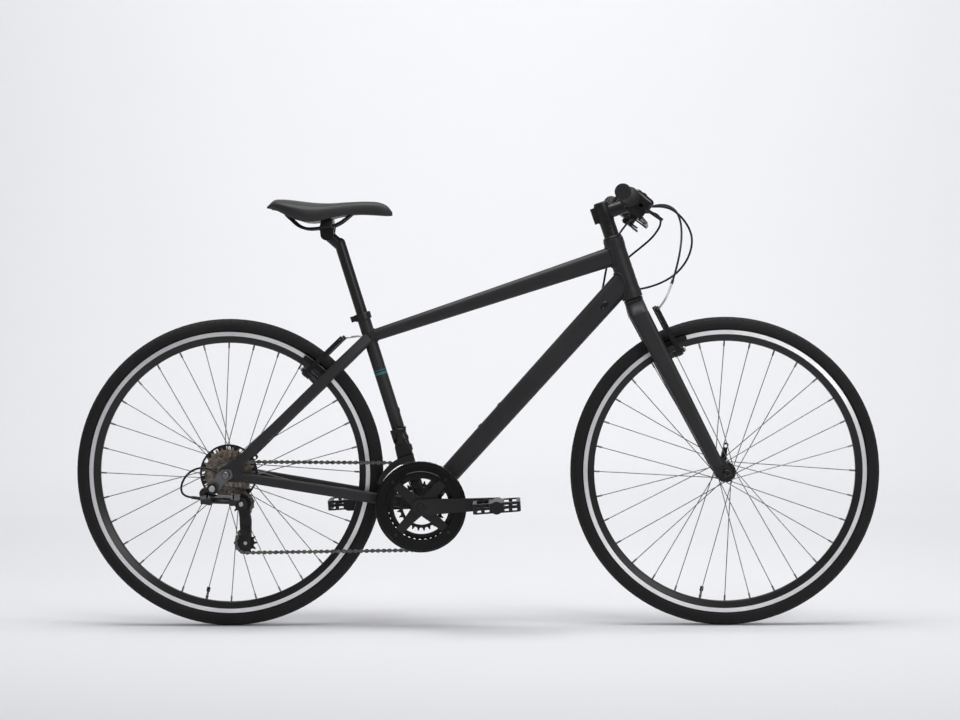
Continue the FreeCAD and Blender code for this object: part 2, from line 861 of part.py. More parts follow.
def toothed_disc(teeth, bore, thickness, phase, centre):
    """Sprocket in the plane y = centre.y whose roller seats start at the angle phase, seen from the right."""
    radius = pitch_radius(teeth)
    step = 2 * math.pi / teeth
    seat = number("roller_radius") + 0.12
    spread = math.radians(60)
    tip = radius + number("roller_radius") * 0.8
    tip_share = 0.09

    def polar(distance, angle):
        return Vector(distance * math.cos(angle), distance * math.sin(angle), 0)

    edges = []
    corners = []
    for index in range(teeth):
        angle = phase + index * step
        roller = polar(radius, angle)
        inward = angle + math.pi
        corners.append((
            roller + polar(seat, inward + spread),
            roller + polar(seat, inward),
            roller + polar(seat, inward - spread),
            polar(tip, angle + step * (0.5 - tip_share)),
            polar(tip, angle + step * (0.5 + tip_share)),
        ))
    for index, (start, low, end, rise, fall) in enumerate(corners):
        following = corners[(index + 1) % teeth][0]
        edges.append(Part.Arc(start, low, end).toShape())
        edges.append(Part.makeLine(end, rise))
        edges.append(Part.makeLine(rise, fall))
        edges.append(Part.makeLine(fall, following))
    disc = Part.makeFace([Part.Wire(edges), Part.Wire(Part.makeCircle(bore))], "Part::FaceMakerBullseye")
    solid = disc.extrude(Vector(0, 0, thickness))
    solid.translate(Vector(0, 0, -thickness / 2))
    solid.Placement = frame_at(centre, Vector(0, -1, 0), FORE).multiply(solid.Placement)
    return solid


class ChainLoop:
    """Pin places of a closed chain round toothed wheels given as (x, z, teeth, sense)."""

    def __init__(self, wheels):
        self.wheels = wheels
        runs = []
        for (x0, z0, teeth0, sense0), (x1, z1, teeth1, sense1) in zip(wheels, wheels[1:] + wheels[:1]):
            first, last = sense0 * pitch_radius(teeth0), sense1 * pitch_radius(teeth1)
            length = math.sqrt((x1 - x0) ** 2 + (z1 - z0) ** 2 - (last - first) ** 2)
            heading = math.atan2(z1 - z0, x1 - x0) - math.atan2(last - first, length)
            normal = (-math.sin(heading), math.cos(heading))
            start = (x0 - first * normal[0], z0 - first * normal[1])
            runs.append((start, heading, length))
        self.stretches = []
        for index, (x, z, teeth, sense) in enumerate(wheels):
            arriving = runs[index - 1][1]
            start, leaving, length = runs[index]
            turn = (sense * (leaving - arriving)) % (2 * math.pi)
            angle = arriving - sense * math.pi / 2
            self.stretches.append(("arc", (x, z, teeth, sense, angle), turn * teeth / (2 * math.pi)))
            self.stretches.append(("run", (start, leaving), length / number("chain_pitch")))
        self.pitches = sum(share for _, _, share in self.stretches)

    def pin(self, place):
        """Point reached after a number of pitches along the loop."""
        for kind, data, share in self.stretches:
            if place > share:
                place -= share
                continue
            if kind == "run":
                (x, z), heading = data
                travel = place * number("chain_pitch")
                return x + travel * math.cos(heading), z + travel * math.sin(heading)
            x, z, teeth, sense, angle = data
            angle += sense * place * 2 * math.pi / teeth
            return x + pitch_radius(teeth) * math.cos(angle), z + pitch_radius(teeth) * math.sin(angle)
        return self.pin(0)

    def phase(self, wheel):
        """Angle of a roller seated on the wheel."""
        before = sum(share for _, _, share in self.stretches[:2 * wheel])
        teeth, sense, angle = self.stretches[2 * wheel][1][2:]
        first_pin = math.ceil(before) - before
        return angle + sense * first_pin * 2 * math.pi / teeth


GUIDE = (-521.0, 282.0)
CAGE_REST = math.radians(-83)


def loop_with_cage(angle):
    """Chain loop when the cage points at the angle, from the guide pulley to the tension pulley."""
    tension = (GUIDE[0] + number("cage_length") * math.cos(angle),
               GUIDE[1] + number("cage_length") * math.sin(angle))
    return ChainLoop([
        (REAR.x, REAR.z, int(number("sprocket_teeth")), -1),
        (BRACKET.x, BRACKET.z, int(number("ring_teeth")), -1),
        (*tension, int(number("pulley_teeth")), -1),
        (*GUIDE, int(number("pulley_teeth")), 1),
    ])


def settle_cage():
    """Cage angle at which the loop holds a whole number of link pairs."""
    target = 2 * round(loop_with_cage(CAGE_REST).pitches / 2)
    low, high = CAGE_REST - 0.6, CAGE_REST + 0.6
    rising = loop_with_cage(high).pitches > loop_with_cage(low).pitches
    for _ in range(60):
        middle = (low + high) / 2
        if (loop_with_cage(middle).pitches > target) == rising:
            high = middle
        else:
            low = middle
    return middle


CAGE_ANGLE = settle_cage()
CHAIN = loop_with_cage(CAGE_ANGLE)
TENSION = CHAIN.wheels[2][:2]
CHAIN_Y = -number("chain_plane")


def link_plates(inner, outer):
    """Pair of link plates, with round ends about two pins one pitch apart."""
    half = number("plate_half_height")
    pitch = number("chain_pitch")
    plates = []
    for low, high in ((inner, outer), (-outer, -inner)):
        bar = Part.makeBox(pitch, half * 2, high - low, Vector(0, -half, low))
        ends = [Part.makeCylinder(half, high - low, Vector(x, 0, low)) for x in (0, pitch)]
        plates.append(bar.multiFuse(ends))
    return plates


def make_chain():
    """Roller chain: inner links with their rollers, outer links with their pins, laid along the loop."""
    pitch = number("chain_pitch")
    pin = 1.8
    inner, outer = link_plates(1.2, 2.2), link_plates(2.3, 3.3)
    rollers = [Part.makeCylinder(number("roller_radius"), 2.6, Vector(x, 0, -1.3)) for x in (0, pitch)]
    holes = [Part.makeCylinder(pin + 0.1, 6, Vector(x, 0, -3)) for x in (0, pitch)]
    pins = [Part.makeCylinder(pin, 7.2, Vector(x, 0, -3.6)) for x in (0, pitch)]
    inner_link = inner[0].multiFuse([inner[1]] + rollers).cut(Part.makeCompound(holes))
    outer_link = outer[0].multiFuse([outer[1]] + pins)
    count = round(CHAIN.pitches)
    places = [CHAIN.pin(index) for index in range(count)]
    links = []
    for index, (x, z) in enumerate(places):
        x_next, z_next = places[(index + 1) % count]
        middle = Vector((x + x_next) / 2, CHAIN_Y, (z + z_next) / 2)
        along = Vector(x_next - x, 0, z_next - z).normalize()
        link = (inner_link if index % 2 else outer_link).copy()
        link.Placement = frame_at(middle - along * pitch / 2, Vector(0, -1, 0), along)
        links.append(link)
    node("chain", shaped(Part.makeCompound(links)))


def make_chainrings():
    """Three chainrings, each on four posts that reach back to the spider."""
    spider_back = number("crank_inner_face") - 8.5
    rings = []
    rows = (
        ("ring_teeth", 0, 81, 85),
        ("middle_teeth", 1, 62, 67),
        ("small_teeth", 2, 42, 46),
    )
    for name, row, bore, post_circle in rows:
        face = number("chain_plane") - row * number("ring_spacing")
        phase = CHAIN.phase(1) + row * 0.03
        ring = toothed_disc(int(number(name)), bore, number("ring_thickness"), phase, BRACKET - LEFT * face)
        posts = []
        for arm in range(4):
            angle = math.radians(number("crank_angle") + 45 + 90 * arm)
            foot = BRACKET + Vector(post_circle * math.cos(angle), -face, post_circle * math.sin(angle))
            posts.append(Part.makeCylinder(3.5, spider_back - face, foot, Vector(0, -1, 0)))
        rings.append(ring.multiFuse(posts))
    node("chainrings", shaped(Part.makeCompound(rings)))


def make_chain_guard():
    """Dished ring outside the large chainring, carried on the spider's face."""
    back = S.crank_inner_face - 2.5
    where = frame_at(BRACKET, Vector(0, -1, 0), FORE)
    node("chain_guard", turned("guard_ring", [
        (S.guard_radius - 29, back),
        (S.guard_radius - 9, back),
        (S.guard_radius - 3, back - 2, 2),
        (S.guard_radius - 3, back - 5.5),
        (S.guard_radius, back - 5.5, 1),
        (S.guard_radius, back + 0.5, 2),
        (S.guard_radius - 8, back + 2.3, 3),
        (S.guard_radius - 29, back + 2.3, 1),
    ], where))


def crank_frame(side):
    """Local X runs along the arm, local Z outwards; the left arm points the other way."""
    angle = math.radians(number("crank_angle"))
    along = Vector(math.cos(angle), 0, math.sin(angle)) * (-side)
    return frame_at(BRACKET, LEFT * side, along)


def arm_solid(side):
    where = crank_frame(side)
    level = number("crank_inner_face") + number("crank_thickness") / 2
    lifted = moved(where, 0, 0, level)
    reach = S.crank_length
    arm = plate("crank_arm", [
        (-19, -17, 16),
        (28, -17, 8),
        (reach - 10, -13, 8),
        (reach + 14, -13, 12),
        (reach + 14, 13, 12),
        (reach - 10, 13, 8),
        (28, 17, 8),
        (-19, 17, 16),
    ], S.crank_thickness, lifted)
    foot = number("crank_inner_face") - 10
    hub = cylinder(17, 11, moved(where, 0, 0, foot))
    return where, arm, hub


def spider_arm(index):
    """One of the four arms that carry the chainrings."""
    turn = FreeCAD.Rotation(UP, 45 + 90 * index)
    level = number("crank_inner_face") - 5.5
    where = crank_frame(-1).multiply(FreeCAD.Placement(Vector(0, 0, level), turn))
    return plate("spider_arm", [
        (8, -15, 3),
        (40, -11, 10),
        (90, -9, 6),
        (90, 9, 6),
        (40, 11, 10),
        (8, 15, 3),
    ], 6, where)


SPINDLE_RADIUS = 8.5


def make_cranks():
    """Crank arms with their pedal axles, the spider on the right one and the spindle on the left one."""
    outer = number("crank_inner_face") + number("crank_thickness")
    for name, side in SIDES.items():
        where, arm, hub = arm_solid(side)
        extra = [spider_arm(index) for index in range(4)] if name == "right" else []
        spindle_hole = cylinder(SPINDLE_RADIUS, outer - 4, where)
        tip = moved(where, number("crank_length"), 0, 0)
        axle_hole = cylinder(S.pedal_axle_radius, outer + 5, tip)
        whole = cut(join(arm, hub, *extra), spindle_hole, axle_hole)
        axle = turned("pedal_axle", [
            (0, S.crank_inner_face),
            (S.pedal_axle_radius, S.crank_inner_face),
            (S.pedal_axle_radius, S.crank_inner_face + S.crank_thickness),
            (S.pedal_axle_radius + 3, S.crank_inner_face + S.crank_thickness, 0.5),
            (S.pedal_axle_radius + 3, S.crank_inner_face + S.crank_thickness + 3, 0.5),
            (S.pedal_axle_radius, S.crank_inner_face + S.crank_thickness + 3),
            (S.pedal_axle_radius - 1, S.crank_inner_face + S.crank_thickness + S.pedal_width - 8),
            (0, S.crank_inner_face + S.crank_thickness + S.pedal_width - 8),
        ], tip)
        pieces = [whole, axle]
        if name == "left":
            spindle_end = frame_at(BRACKET - LEFT * (outer - 4), LEFT)
            pieces.append(cylinder(SPINDLE_RADIUS, 2 * (outer - 4), spindle_end))
        node(f"crank_arm_{name}", group(*pieces))


def make_pedals():
    """Platform pedals: a frame with windows through both ways round a sleeve for the axle."""
    inner = number("crank_inner_face") + number("crank_thickness") + 4
    middle = inner + number("pedal_width") / 2
    for name, side in SIDES.items():
        tip = crank_frame(side).multVec(Vector(number("crank_length"), 0, 0))
        tilt = math.radians(number("pedal_tilt"))
        fore = Vector(math.cos(tilt), 0, math.sin(tilt))
        up = Vector(-math.sin(tilt), 0, math.cos(tilt))
        centre = tip + LEFT * side * middle
        where = frame_at(centre, up, fore)
        half, wide = S.pedal_length / 2, S.pedal_width / 2
        body = plate("pedal_frame", [
            (-half, -wide, 12),
            (half, -wide, 12),
            (half, wide, 12),
            (-half, wide, 12),
        ], S.pedal_height - 6, where)
        sleeve = cylinder(S.pedal_height / 2, S.pedal_width,
                          frame_at(centre - LEFT * number("pedal_width") / 2, LEFT, fore))
        tools = []
        span = number("pedal_width") - 18
        for sign in (-1, 1):
            well = frame_at(centre + fore * sign * (number("pedal_length") * 0.29) - up * 20, up, fore)
            tools.append(block(S.pedal_length * 0.26, span, 40, well))
            for share in (0.2, 0.38):
                for level in (-1, 1):
                    slot = centre + fore * sign * number("pedal_length") * share + up * level * 5.5
                    tools.append(block(11, 5, S.pedal_width + 10,
                                       frame_at(slot - LEFT * (number("pedal_width") / 2 + 5), LEFT, fore)))
        bore = cylinder(S.pedal_axle_radius + 0.1, S.pedal_width - 10,
                        frame_at(tip + LEFT * side * (inner - 1), LEFT * side))
        node(f"pedal_{name}", cut(join(cut(body, *tools), sleeve), bore))


def make_bottom_bracket():
    """Bearing unit in the shell: a sleeve with end flanges and two bearings that carry the spindle."""
    half = S.shell_width / 2
    where = frame_at(BRACKET, LEFT, FORE)
    sleeve = turned("bracket_sleeve", [
        (S.shell_bore - 2.4, -half - 3),
        (S.shell_radius - 1, -half - 3, 1),
        (S.shell_radius - 1, -half),
        (S.shell_bore, -half),
        (S.shell_bore, half),
        (S.shell_radius - 1, half),
        (S.shell_radius - 1, half + 3, 1),
        (S.shell_bore - 2.4, half + 3),
    ], where)
    bearings = []
    for sign in (-1, 1):
        bearings.append(turned("bracket_bearing", [
            (SPINDLE_RADIUS + 0.06, sign * (half - 10)),
            (S.shell_bore - 2.4, sign * (half - 10)),
            (S.shell_bore - 2.4, sign * (half + 1)),
            (SPINDLE_RADIUS + 0.06, sign * (half + 1)),
        ], where))
    node("bottom_bracket_unit", group(sleeve, *bearings))


SPROCKET_STEPS = (0, 2, 4, 6, 8, 10, 14)
CARRIER_RADIUS = 17


def make_sprockets():
    """Seven sprockets on their carrier, smallest outside."""
    smallest = int(number("sprocket_teeth"))
    discs = []
    for row, more in enumerate(SPROCKET_STEPS):
        centre = REAR - LEFT * (number("chain_plane") - row * number("sprocket_spacing"))
        phase = CHAIN.phase(0)
        thickness = number("sprocket_thickness")
        discs.append(toothed_disc(smallest + more, CARRIER_RADIUS, thickness, phase, centre))
    where = frame_at(REAR, Vector(0, -1, 0), FORE)
    outer = S.chain_plane + 2
    inner = S.chain_plane - S.sprocket_spacing * (len(SPROCKET_STEPS) - 1) - 2
    carrier = turned("sprocket_carrier", [
        (S.hub_bore, inner),
        (CARRIER_RADIUS, inner),
        (CARRIER_RADIUS, outer),
        (S.hub_bore, outer),
    ], where)
    node("sprockets", group(carrier, shaped(Part.makeCompound(discs))))


def make_spoke_protector():
    """Slotted disc between the largest sprocket and the spokes."""
    where = frame_at(REAR - LEFT * (number("rear_flange_right") + 5.9), LEFT, FORE)
    disc = turned("protector_disc", [
        (S.hub_radius, -0.9),
        (65, -0.9, 0.4),
        (65, 0.9, 0.4),
        (S.hub_radius, 0.9),
    ], where)
    slots = []
    for index in range(12):
        turn = FreeCAD.Rotation(UP, 30 * index)
        spot = where.multiply(FreeCAD.Placement(Vector(), turn))
        slots.append(block(7, 11, 10, moved(spot, 57, 0, -5)))
    return cut(disc, *slots)


# Cords and bent rods

def bent_rod(radius, points):
    """Round rod of straight runs and tangent arcs through the points."""
    radius = float(radius)
    reach = 0.45
    edges = []
    here = points[0]
    tightest = math.inf
    for before, corner, after in zip(points, points[1:], points[2:]):
        back, ahead = before - corner, after - corner
        shorter = min(back.Length, ahead.Length)
        back.normalize()
        ahead.normalize()
        turn = math.pi - back.getAngle(ahead)
        tangent = reach * shorter
        bend = tangent / math.tan(turn / 2)
        tightest = min(tightest, bend)
        start, end = corner + back * tangent, corner + ahead * tangent
        inward = (back + ahead).normalize()
        middle = corner + inward * (bend / math.cos(turn / 2) - bend)
        edges.append(Part.makeLine(here, start))
        edges.append(Part.Arc(start, middle, end).toShape())
        here = end
    edges.append(Part.makeLine(here, points[-1]))
    spine = Part.Wire(edges)
    ring = Part.Wire(Part.makeCircle(radius, points[0], points[1] - points[0]))
    rod = spine.makePipeShell([ring], True, True)
    share = rod.Volume / (math.pi * radius ** 2 * spine.Length)
    size_text = f"length {spine.Length:.0f}, tightest bend {tightest:.1f}"
    print(f"rod of radius {radius}: {size_text}, volume share {share:.4f}")
    return shaped(rod)


# Fork and cockpit

STACK = S.fork_length + S.lower_stack + S.head_length + 12
STEM_LOW = STACK + S.spacer_height * 3
STEM_MIDDLE = float(STEM_LOW + S.stem_height / 2)
BAR_MIDDLE = on_steerer(STEM_MIDDLE, number("stem_length"))
BLADE_TIP_AHEAD = 57
BLADE_TIP_HEIGHT = 20
BLADE_TOP_AHEAD = 1
crown_foot = number("fork_length") - number("crown_height")
blade_slope = math.atan((BLADE_TIP_AHEAD - BLADE_TOP_AHEAD) / (crown_foot - BLADE_TIP_HEIGHT))
BLADE_UP = STEER_UP * math.cos(blade_slope) - STEER_FORE * math.sin(blade_slope)
BLADE_OUT = STEER_FORE * math.cos(blade_slope) + STEER_UP * math.sin(blade_slope)


def blade_centre(height):
    return BLADE_TIP_AHEAD - (height - BLADE_TIP_HEIGHT) * math.tan(blade_slope)


def fork_dropout(side):
    """Plate at the end of a blade, with a slot open below the front axle."""
    middle = (number("front_drop_width") + number("drop_thickness")) / 2
    where = frame_at(FRONT + LEFT * side * middle, Vector(0, -1, 0), STEER_FORE)
    plain = plate("fork_dropout", [
        (-11, -11, 8),
        (12, -12, 9),
        (13, 6, 8),
        (0, 38, 3),
        (-26, 42, 3),
        (-25, 10, 8),
    ], S.drop_thickness, where)
    slot = block(S.axle_radius * 2 + 0.2, 24, S.drop_thickness * 3,
                 moved(where, 0, -12, -number("drop_thickness") * 1.5))
    hole_start = moved(where, 0, 0, -number("drop_thickness") * 1.5)
    hole = cylinder(S.axle_radius + 0.1, S.drop_thickness * 3, hole_start)
    return plain, slot, hole


def make_fork():
    """Fork: crown, two straight blades with dropouts and brake studs, and the steerer in its crown."""
    crown_low = S.fork_length - S.crown_height
    crown = lofted("fork_crown", [
        (crown_low, box_section(S.blade_top_depth, 104, 12)),
        (crown_low + S.crown_height * 0.55, box_section(S.blade_top_depth, 84, 18)),
        (S.fork_length, box_section(42, 43, 20)),
    ], STEER_FRAME)
    pieces = [crown]
    holes = [cylinder(S.steerer_radius, 100, frame_at(on_steerer(number("fork_length") - 18), STEER_UP))]
    for side in SIDES.values():
        stations = []
        for share in (0, 0.35, 0.7, 1):
            height = BLADE_TIP_HEIGHT + share * (crown_low + 3 - BLADE_TIP_HEIGHT)
            depth = S.blade_tip_depth * (1 - share) + S.blade_top_depth * share
            width = S.blade_tip_width * (1 - share) + S.blade_top_width * share
            spread = side * (55 - 15.5 * share)
            centre = blade_centre(float(height))
            stations.append((height, box_section(depth, width, width * 0.4, centre, spread)))
        plain, slot, hole = fork_dropout(side)
        root = on_steerer(number("front_stud_height"), blade_centre(number("front_stud_height")),
                          side * number("stud_spacing"))
        pieces += [lofted("fork_blade", stations, STEER_FRAME), plain, stud(root, BLADE_OUT, 8)]
        holes += [slot, hole]
    steerer = turned("steerer", [
        (S.steerer_radius - S.steerer_wall, S.fork_length - 18),
        (S.steerer_radius, S.fork_length - 18),
        (S.steerer_radius, STEM_LOW + S.stem_height - 3),
        (S.steerer_radius - S.steerer_wall, STEM_LOW + S.stem_height - 3),
    ], STEER_FRAME)
    node("fork", group(cut(join(*pieces), *holes), steerer))


def make_headset_spacers():
    """Crown race, top cover, spacers and top cap that turn with the steerer."""
    inner = S.steerer_radius
    lip = S.fork_length + S.lower_stack - S.cup_flange - 0.3
    pieces = [turned("crown_race", [
        (inner, S.fork_length),
        (S.head_radius - 2, S.fork_length, 0.5),
        (S.head_radius - 1, lip - 2),
        (S.head_radius - 4, lip),
        (inner, lip),
    ], STEER_FRAME)]
    cover_low = S.fork_length + S.lower_stack + S.head_length + S.cup_flange + 0.3
    pieces.append(turned("headset_cover", [
        (inner, cover_low),
        (S.head_radius - 0.5, cover_low, 0.8),
        (S.head_radius - 2, STACK - 3, 2),
        (S.spacer_radius, STACK),
        (inner, STACK),
    ], STEER_FRAME))
    for index in range(3):
        low = STACK + S.spacer_height * index
        pieces.append(turned("headset_spacer", [
            (inner, low),
            (S.spacer_radius, low, 0.6),
            (S.spacer_radius, low + S.spacer_height, 0.6),
            (inner, low + S.spacer_height),
        ], STEER_FRAME))
    top = STEM_LOW + S.stem_height
    pieces.append(turned("headset_cap", [
        (0, top),
        (S.spacer_radius, top),
        (S.spacer_radius, top + 2, 1),
        (S.spacer_radius - 2, top + 6, 2),
        (3, top + 6),
        (3, top + 4),
        (0, top + 4),
    ], STEER_FRAME))
    node("headset_spacers", group(*pieces))


def bolt(start, end):
    """Cap screw from its tip to the underside of its head, with the room that it takes."""
    along = (end - start).normalize()
    screw = join(rod_between(2, start, end), rod_between(3.6, end, end + along * 3.5))
    return screw, join(rod_between(2, start, end), rod_between(3.7, end, end + along * 12))


def make_stem():
    """Stem clamped on the steerer by two pinch bolts, and its faceplate that holds the bar by four."""
    ahead = number("stem_length")
    clamp = cylinder(S.stem_radius, S.stem_height, frame_at(on_steerer(float(STEM_LOW)), STEER_UP))
    arm = lofted("stem_arm", [
        (0, box_section(34, 30, 12)),
        (ahead * 0.55, box_section(30, 28, 12)),
        (ahead, box_section(32, 34, 8)),
    ], frame_at(on_steerer(STEM_MIDDLE), STEER_FORE, STEER_UP))
    half = number("bar_clamp_width") / 2
    holder = cylinder(S.bar_clamp_radius, S.bar_clamp_width, frame_at(BAR_MIDDLE - LEFT * half, LEFT))
    lug = block(14, 20, 36, frame_at(on_steerer(float(STEM_LOW) + 2, -20), STEER_UP, STEER_FORE))
    slit = block(30, 2, 60, frame_at(on_steerer(float(STEM_LOW) - 10, -24), STEER_UP, STEER_FORE))
    steerer_room = cylinder(S.steerer_radius, 80, frame_at(on_steerer(float(STEM_LOW) - 20), STEER_UP))
    bar_room = cylinder(S.bar_centre_radius, 100, frame_at(BAR_MIDDLE - LEFT * 50, LEFT))
    front_room = block(80, 80, 60, frame_at(BAR_MIDDLE + STEER_FORE, STEER_FORE, STEER_UP))
    screws = []
    for height in (9, 29):
        middle = on_steerer(float(STEM_LOW) + height, -22.5)
        screws.append(bolt(middle - LEFT * 9, middle + LEFT * 10))
    for across in (-14, 14):
        for rise in (-18.4, 18.4):
            middle = BAR_MIDDLE + LEFT * across + STEER_UP * rise
            screws.append(bolt(middle - STEER_FORE * 8, middle + STEER_FORE * 9.5))
    rooms = [room for _, room in screws]
    body = cut(join(clamp, arm, holder, lug), steerer_room, bar_room, front_room, slit, *rooms)
    holder_front = cylinder(S.bar_clamp_radius, S.bar_clamp_width, frame_at(BAR_MIDDLE - LEFT * half, LEFT))
    front_half = block(80, 80, 60, frame_at(BAR_MIDDLE + STEER_FORE * 2.5, STEER_FORE, STEER_UP))
    faceplate = cut(overlap(holder_front, front_half), bar_room, *rooms)
    node("stem", group(body, faceplate, *[screw for screw, _ in screws]))


def bar_end(side):
    return BAR_MIDDLE + Vector(-number("bar_sweep"), side * number("bar_half_width"), number("bar_rise"))


def bar_out(side):
    """Direction of the bar's end, outwards."""
    bend = BAR_MIDDLE + LEFT * side * number("bar_bend")
    return (bar_end(side) - bend).normalize()


def make_handlebar():
    """Flat bar, thick at the stem, swept back at its ends and hollow there."""
    middle = turned("bar_middle", [
        (0, -S.bar_bend),
        (S.bar_radius, -S.bar_bend),
        (S.bar_centre_radius, -S.bar_clamp_width),
        (S.bar_centre_radius, S.bar_clamp_width),
        (S.bar_radius, S.bar_bend),
        (0, S.bar_bend),
    ], frame_at(BAR_MIDDLE, LEFT, FORE))
    pieces = [middle]
    bores = []
    for side in SIDES.values():
        bend = BAR_MIDDLE + LEFT * side * number("bar_bend")
        knee = doc.addObject("Part::Sphere", "bar_knee")
        bind(knee, "Radius", S.bar_radius)
        knee.Placement.Base = bend
        pieces += [knee, rod_between(S.bar_radius, bend, bar_end(side))]
        bore_end = bar_end(side) + bar_out(side)
        bores.append(rod_between(S.bar_radius - S.bar_wall, bend + bar_out(side) * 40, bore_end))
    node("handlebar", cut(join(*pieces), *bores))


def make_grips():
    grips = []
    for side in SIDES.values():
        where = frame_at(bar_end(side), -bar_out(side), FORE)
        grips.append(turned("grip", [
            (0, -4),
            (S.grip_radius + 1.5, -4, 3),
            (S.grip_radius + 1.5, 5, 2),
            (S.grip_radius, 9, 3),
            (S.grip_radius - 1, S.grip_length / 2),
            (S.grip_radius, S.grip_length - 14, 4),
            (S.grip_flange, S.grip_length - 8, 2),
            (S.grip_flange, S.grip_length - 4, 2),
            (S.bar_radius, S.grip_length - 4),
            (S.bar_radius, 0),
            (0, 0),
        ], where))
    node("grips", group(*grips))


def control_frame(side):
    """Placement at a perch: X reaches forward and down, Y runs along the bar and Z stands over the lever."""
    droop = math.radians(number("lever_droop"))
    centre = bar_end(side) - bar_out(side) * number("perch_offset")
    along = bar_out(side) * side
    reach = Vector(math.cos(droop), 0, -math.sin(droop))
    return frame_at(centre, reach.cross(along), reach)


def handed(corners, side):
    """Outline with its second coordinate counted outwards from the stem."""
    return [(corner[0], side * corner[1], *corner[2:]) for corner in corners]


TRIGGER = (28, -14)
POD_LOW = -26


def make_controls():
    """Brake perches with their clamps, and the shifter pods below them with the pins of both shift levers."""
    pieces = []
    for side in SIDES.values():
        where = control_frame(side)
        along = bar_out(side)
        centre = where.Base
        ring = rod_between(16, centre - along * 8, centre + along * 8)
        arm = plate("perch", handed([
            (6, -9),
            (22, -24, 5),
            (42, -24, 6),
            (47, -4, 5),
            (47, 7, 5),
            (36, 10, 5),
            (6, 8),
        ], side), 14, where)
        bar_room = rod_between(S.bar_radius, centre - along * 80, centre + along * 80)
        lever_room = block(40, 70, S.lever_thickness + 0.6,
                           moved(where, 44, side * 15, -number("lever_thickness") / 2 - 0.3))
        pivot = cylinder(2.5, 14, moved(where, number("lever_pivot"), 0, -7))
        barrel_start = where.multVec(Vector(32, -24 * side, 0))
        barrel = rod_between(4.2, barrel_start, barrel_start - along * 15)
        body = cut(join(ring, arm, barrel), bar_room, lever_room)
        pieces.append(join(body, pivot))
        pod = block(44, 34, 19, moved(where, 24, -14 * side, POD_LOW))
        ring_room = rod_between(16, centre - along * 80, centre + along * 80)
        pin_place = moved(where, TRIGGER[0], TRIGGER[1] * side, POD_LOW - 8.3)
        pin = join(cylinder(3, 10, pin_place), cylinder(5, 2, moved(pin_place, 0, 0, -2)))
        pieces.append(join(cut(pod, ring_room), pin))
    node("control_bodies", group(*pieces))


def make_levers():
    """Brake levers in their perches and the two shift levers under each pod."""
    for name, side in SIDES.items():
        where = control_frame(side)
        lever = plate("brake_lever", handed([
            (30, -7, 3),
            (45, -9, 5),
            (56, 6, 8),
            (73, 44, 14),
            (82, 112, 5),
            (74, 118, 3),
            (62, 52, 14),
            (45, 20, 8),
            (32, 9, 4),
        ], side), S.lever_thickness, where)
        pivot_room = cylinder(2.56, 30, moved(where, number("lever_pivot"), 0, -15))
        node(f"brake_lever_{name}", cut(lever, pivot_room))
        pin_room = cylinder(3.06, 40, moved(where, TRIGGER[0], TRIGGER[1] * side, -50))
        thumb = plate("thumb_lever", handed([
            (20, -22, 7),
            (34, -24, 6),
            (58, -6, 6),
            (68, 4, 6),
            (58, 14, 6),
            (46, 2, 6),
            (20, -5, 7),
        ], side), 3.6, moved(where, 0, 0, POD_LOW - 6.1))
        node(f"thumb_lever_{name}", cut(thumb, pin_room))
        release = plate("release_lever", handed([
            (20, -22, 7),
            (36, -25, 5),
            (60, -22, 6),
            (60, -10, 5),
            (38, -5, 5),
            (20, -6, 7),
        ], side), 3, moved(where, 0, 0, POD_LOW - 1.9))
        node(f"release_lever_{name}", cut(release, pin_room))


# Rim brakes

def make_brake(name, wheel, root, up, outward, noodle_side):
    """Two linear-pull arms on their studs, each with its pad and post; one of them holds the noodle."""
    arm_plane = number("arm_offset")
    pad_rise = 24
    tilt = 5.5
    for side_name, side in SIDES.items():
        where = frame_at(root + LEFT * side * number("stud_spacing"), outward, up)
        across = side * where.Rotation.multVec(LEFT).y
        arm = plate(f"{name}_arm", handed([
            (-10, -9, 8.5),
            (24, -9, 6),
            (70, -6, 8),
            (S.arm_length + 4, -8, 4),
            (S.arm_length + 4, 4, 4),
            (70, 6, 8),
            (24, 9.5, 6),
            (-10, 9, 8.5),
        ], across), S.arm_thickness, moved(where, 0, 0, arm_plane))
        boss_pipe = cylinder(9, 20.5, moved(where, 0, 0, arm_plane - 13.3))
        stud_room = cylinder(S.stud_radius + 0.08, 60, where)
        spot = moved(where, pad_rise, 0, arm_plane).Base
        spot.y = 0
        spoke = (spot - wheel).normalize()
        reach = (spot - wheel).Length
        start = FreeCAD.Rotation(LEFT, -tilt).multVec(spoke)
        face = S.rim_width / 2 + S.pad_gap
        low, high = face * side, (face + S.pad_thickness) * side
        pad = turned(f"{name}_pad", [
            (reach - 5.5, low),
            (reach + 4.5, low),
            (reach + 5.5, high),
            (reach - 5.5, high),
        ], frame_at(wheel, LEFT, start), 2 * tilt)
        inside = spot + LEFT * side * (float(face) + number("pad_thickness") - 1)
        outside = spot + LEFT * side * (number("stud_spacing") + 11)
        post = rod_between(3, inside, outside)
        washer = rod_between(6, spot + LEFT * side * (number("stud_spacing") - 12),
                             spot + LEFT * side * (number("stud_spacing") - 9))
        nut = rod_between(5, spot + LEFT * side * (number("stud_spacing") + 9.5), outside)
        shoe = join(pad, post, washer, nut)
        wire_place = moved(where, number("arm_length") - 3, 0, arm_plane).Base
        held = S.housing_radius if side == noodle_side else S.wire_radius
        wire_room = rod_between(held + 0.1, wire_place - LEFT * 20, wire_place + LEFT * 20)
        finished_arm = cut(join(arm, boss_pipe), stud_room, shoe, wire_room)
        node(f"{name}_brake_arm_{side_name}", group(finished_arm, shoe))


# Seat

POST_HEAD = Vector(-332, 0, 880)
SADDLE_TAIL = -472
RAIL_LINE = ((-424, 1, 925), (-388, 1, 891), (-312, 1, 897), (-268, 0.5, 933))


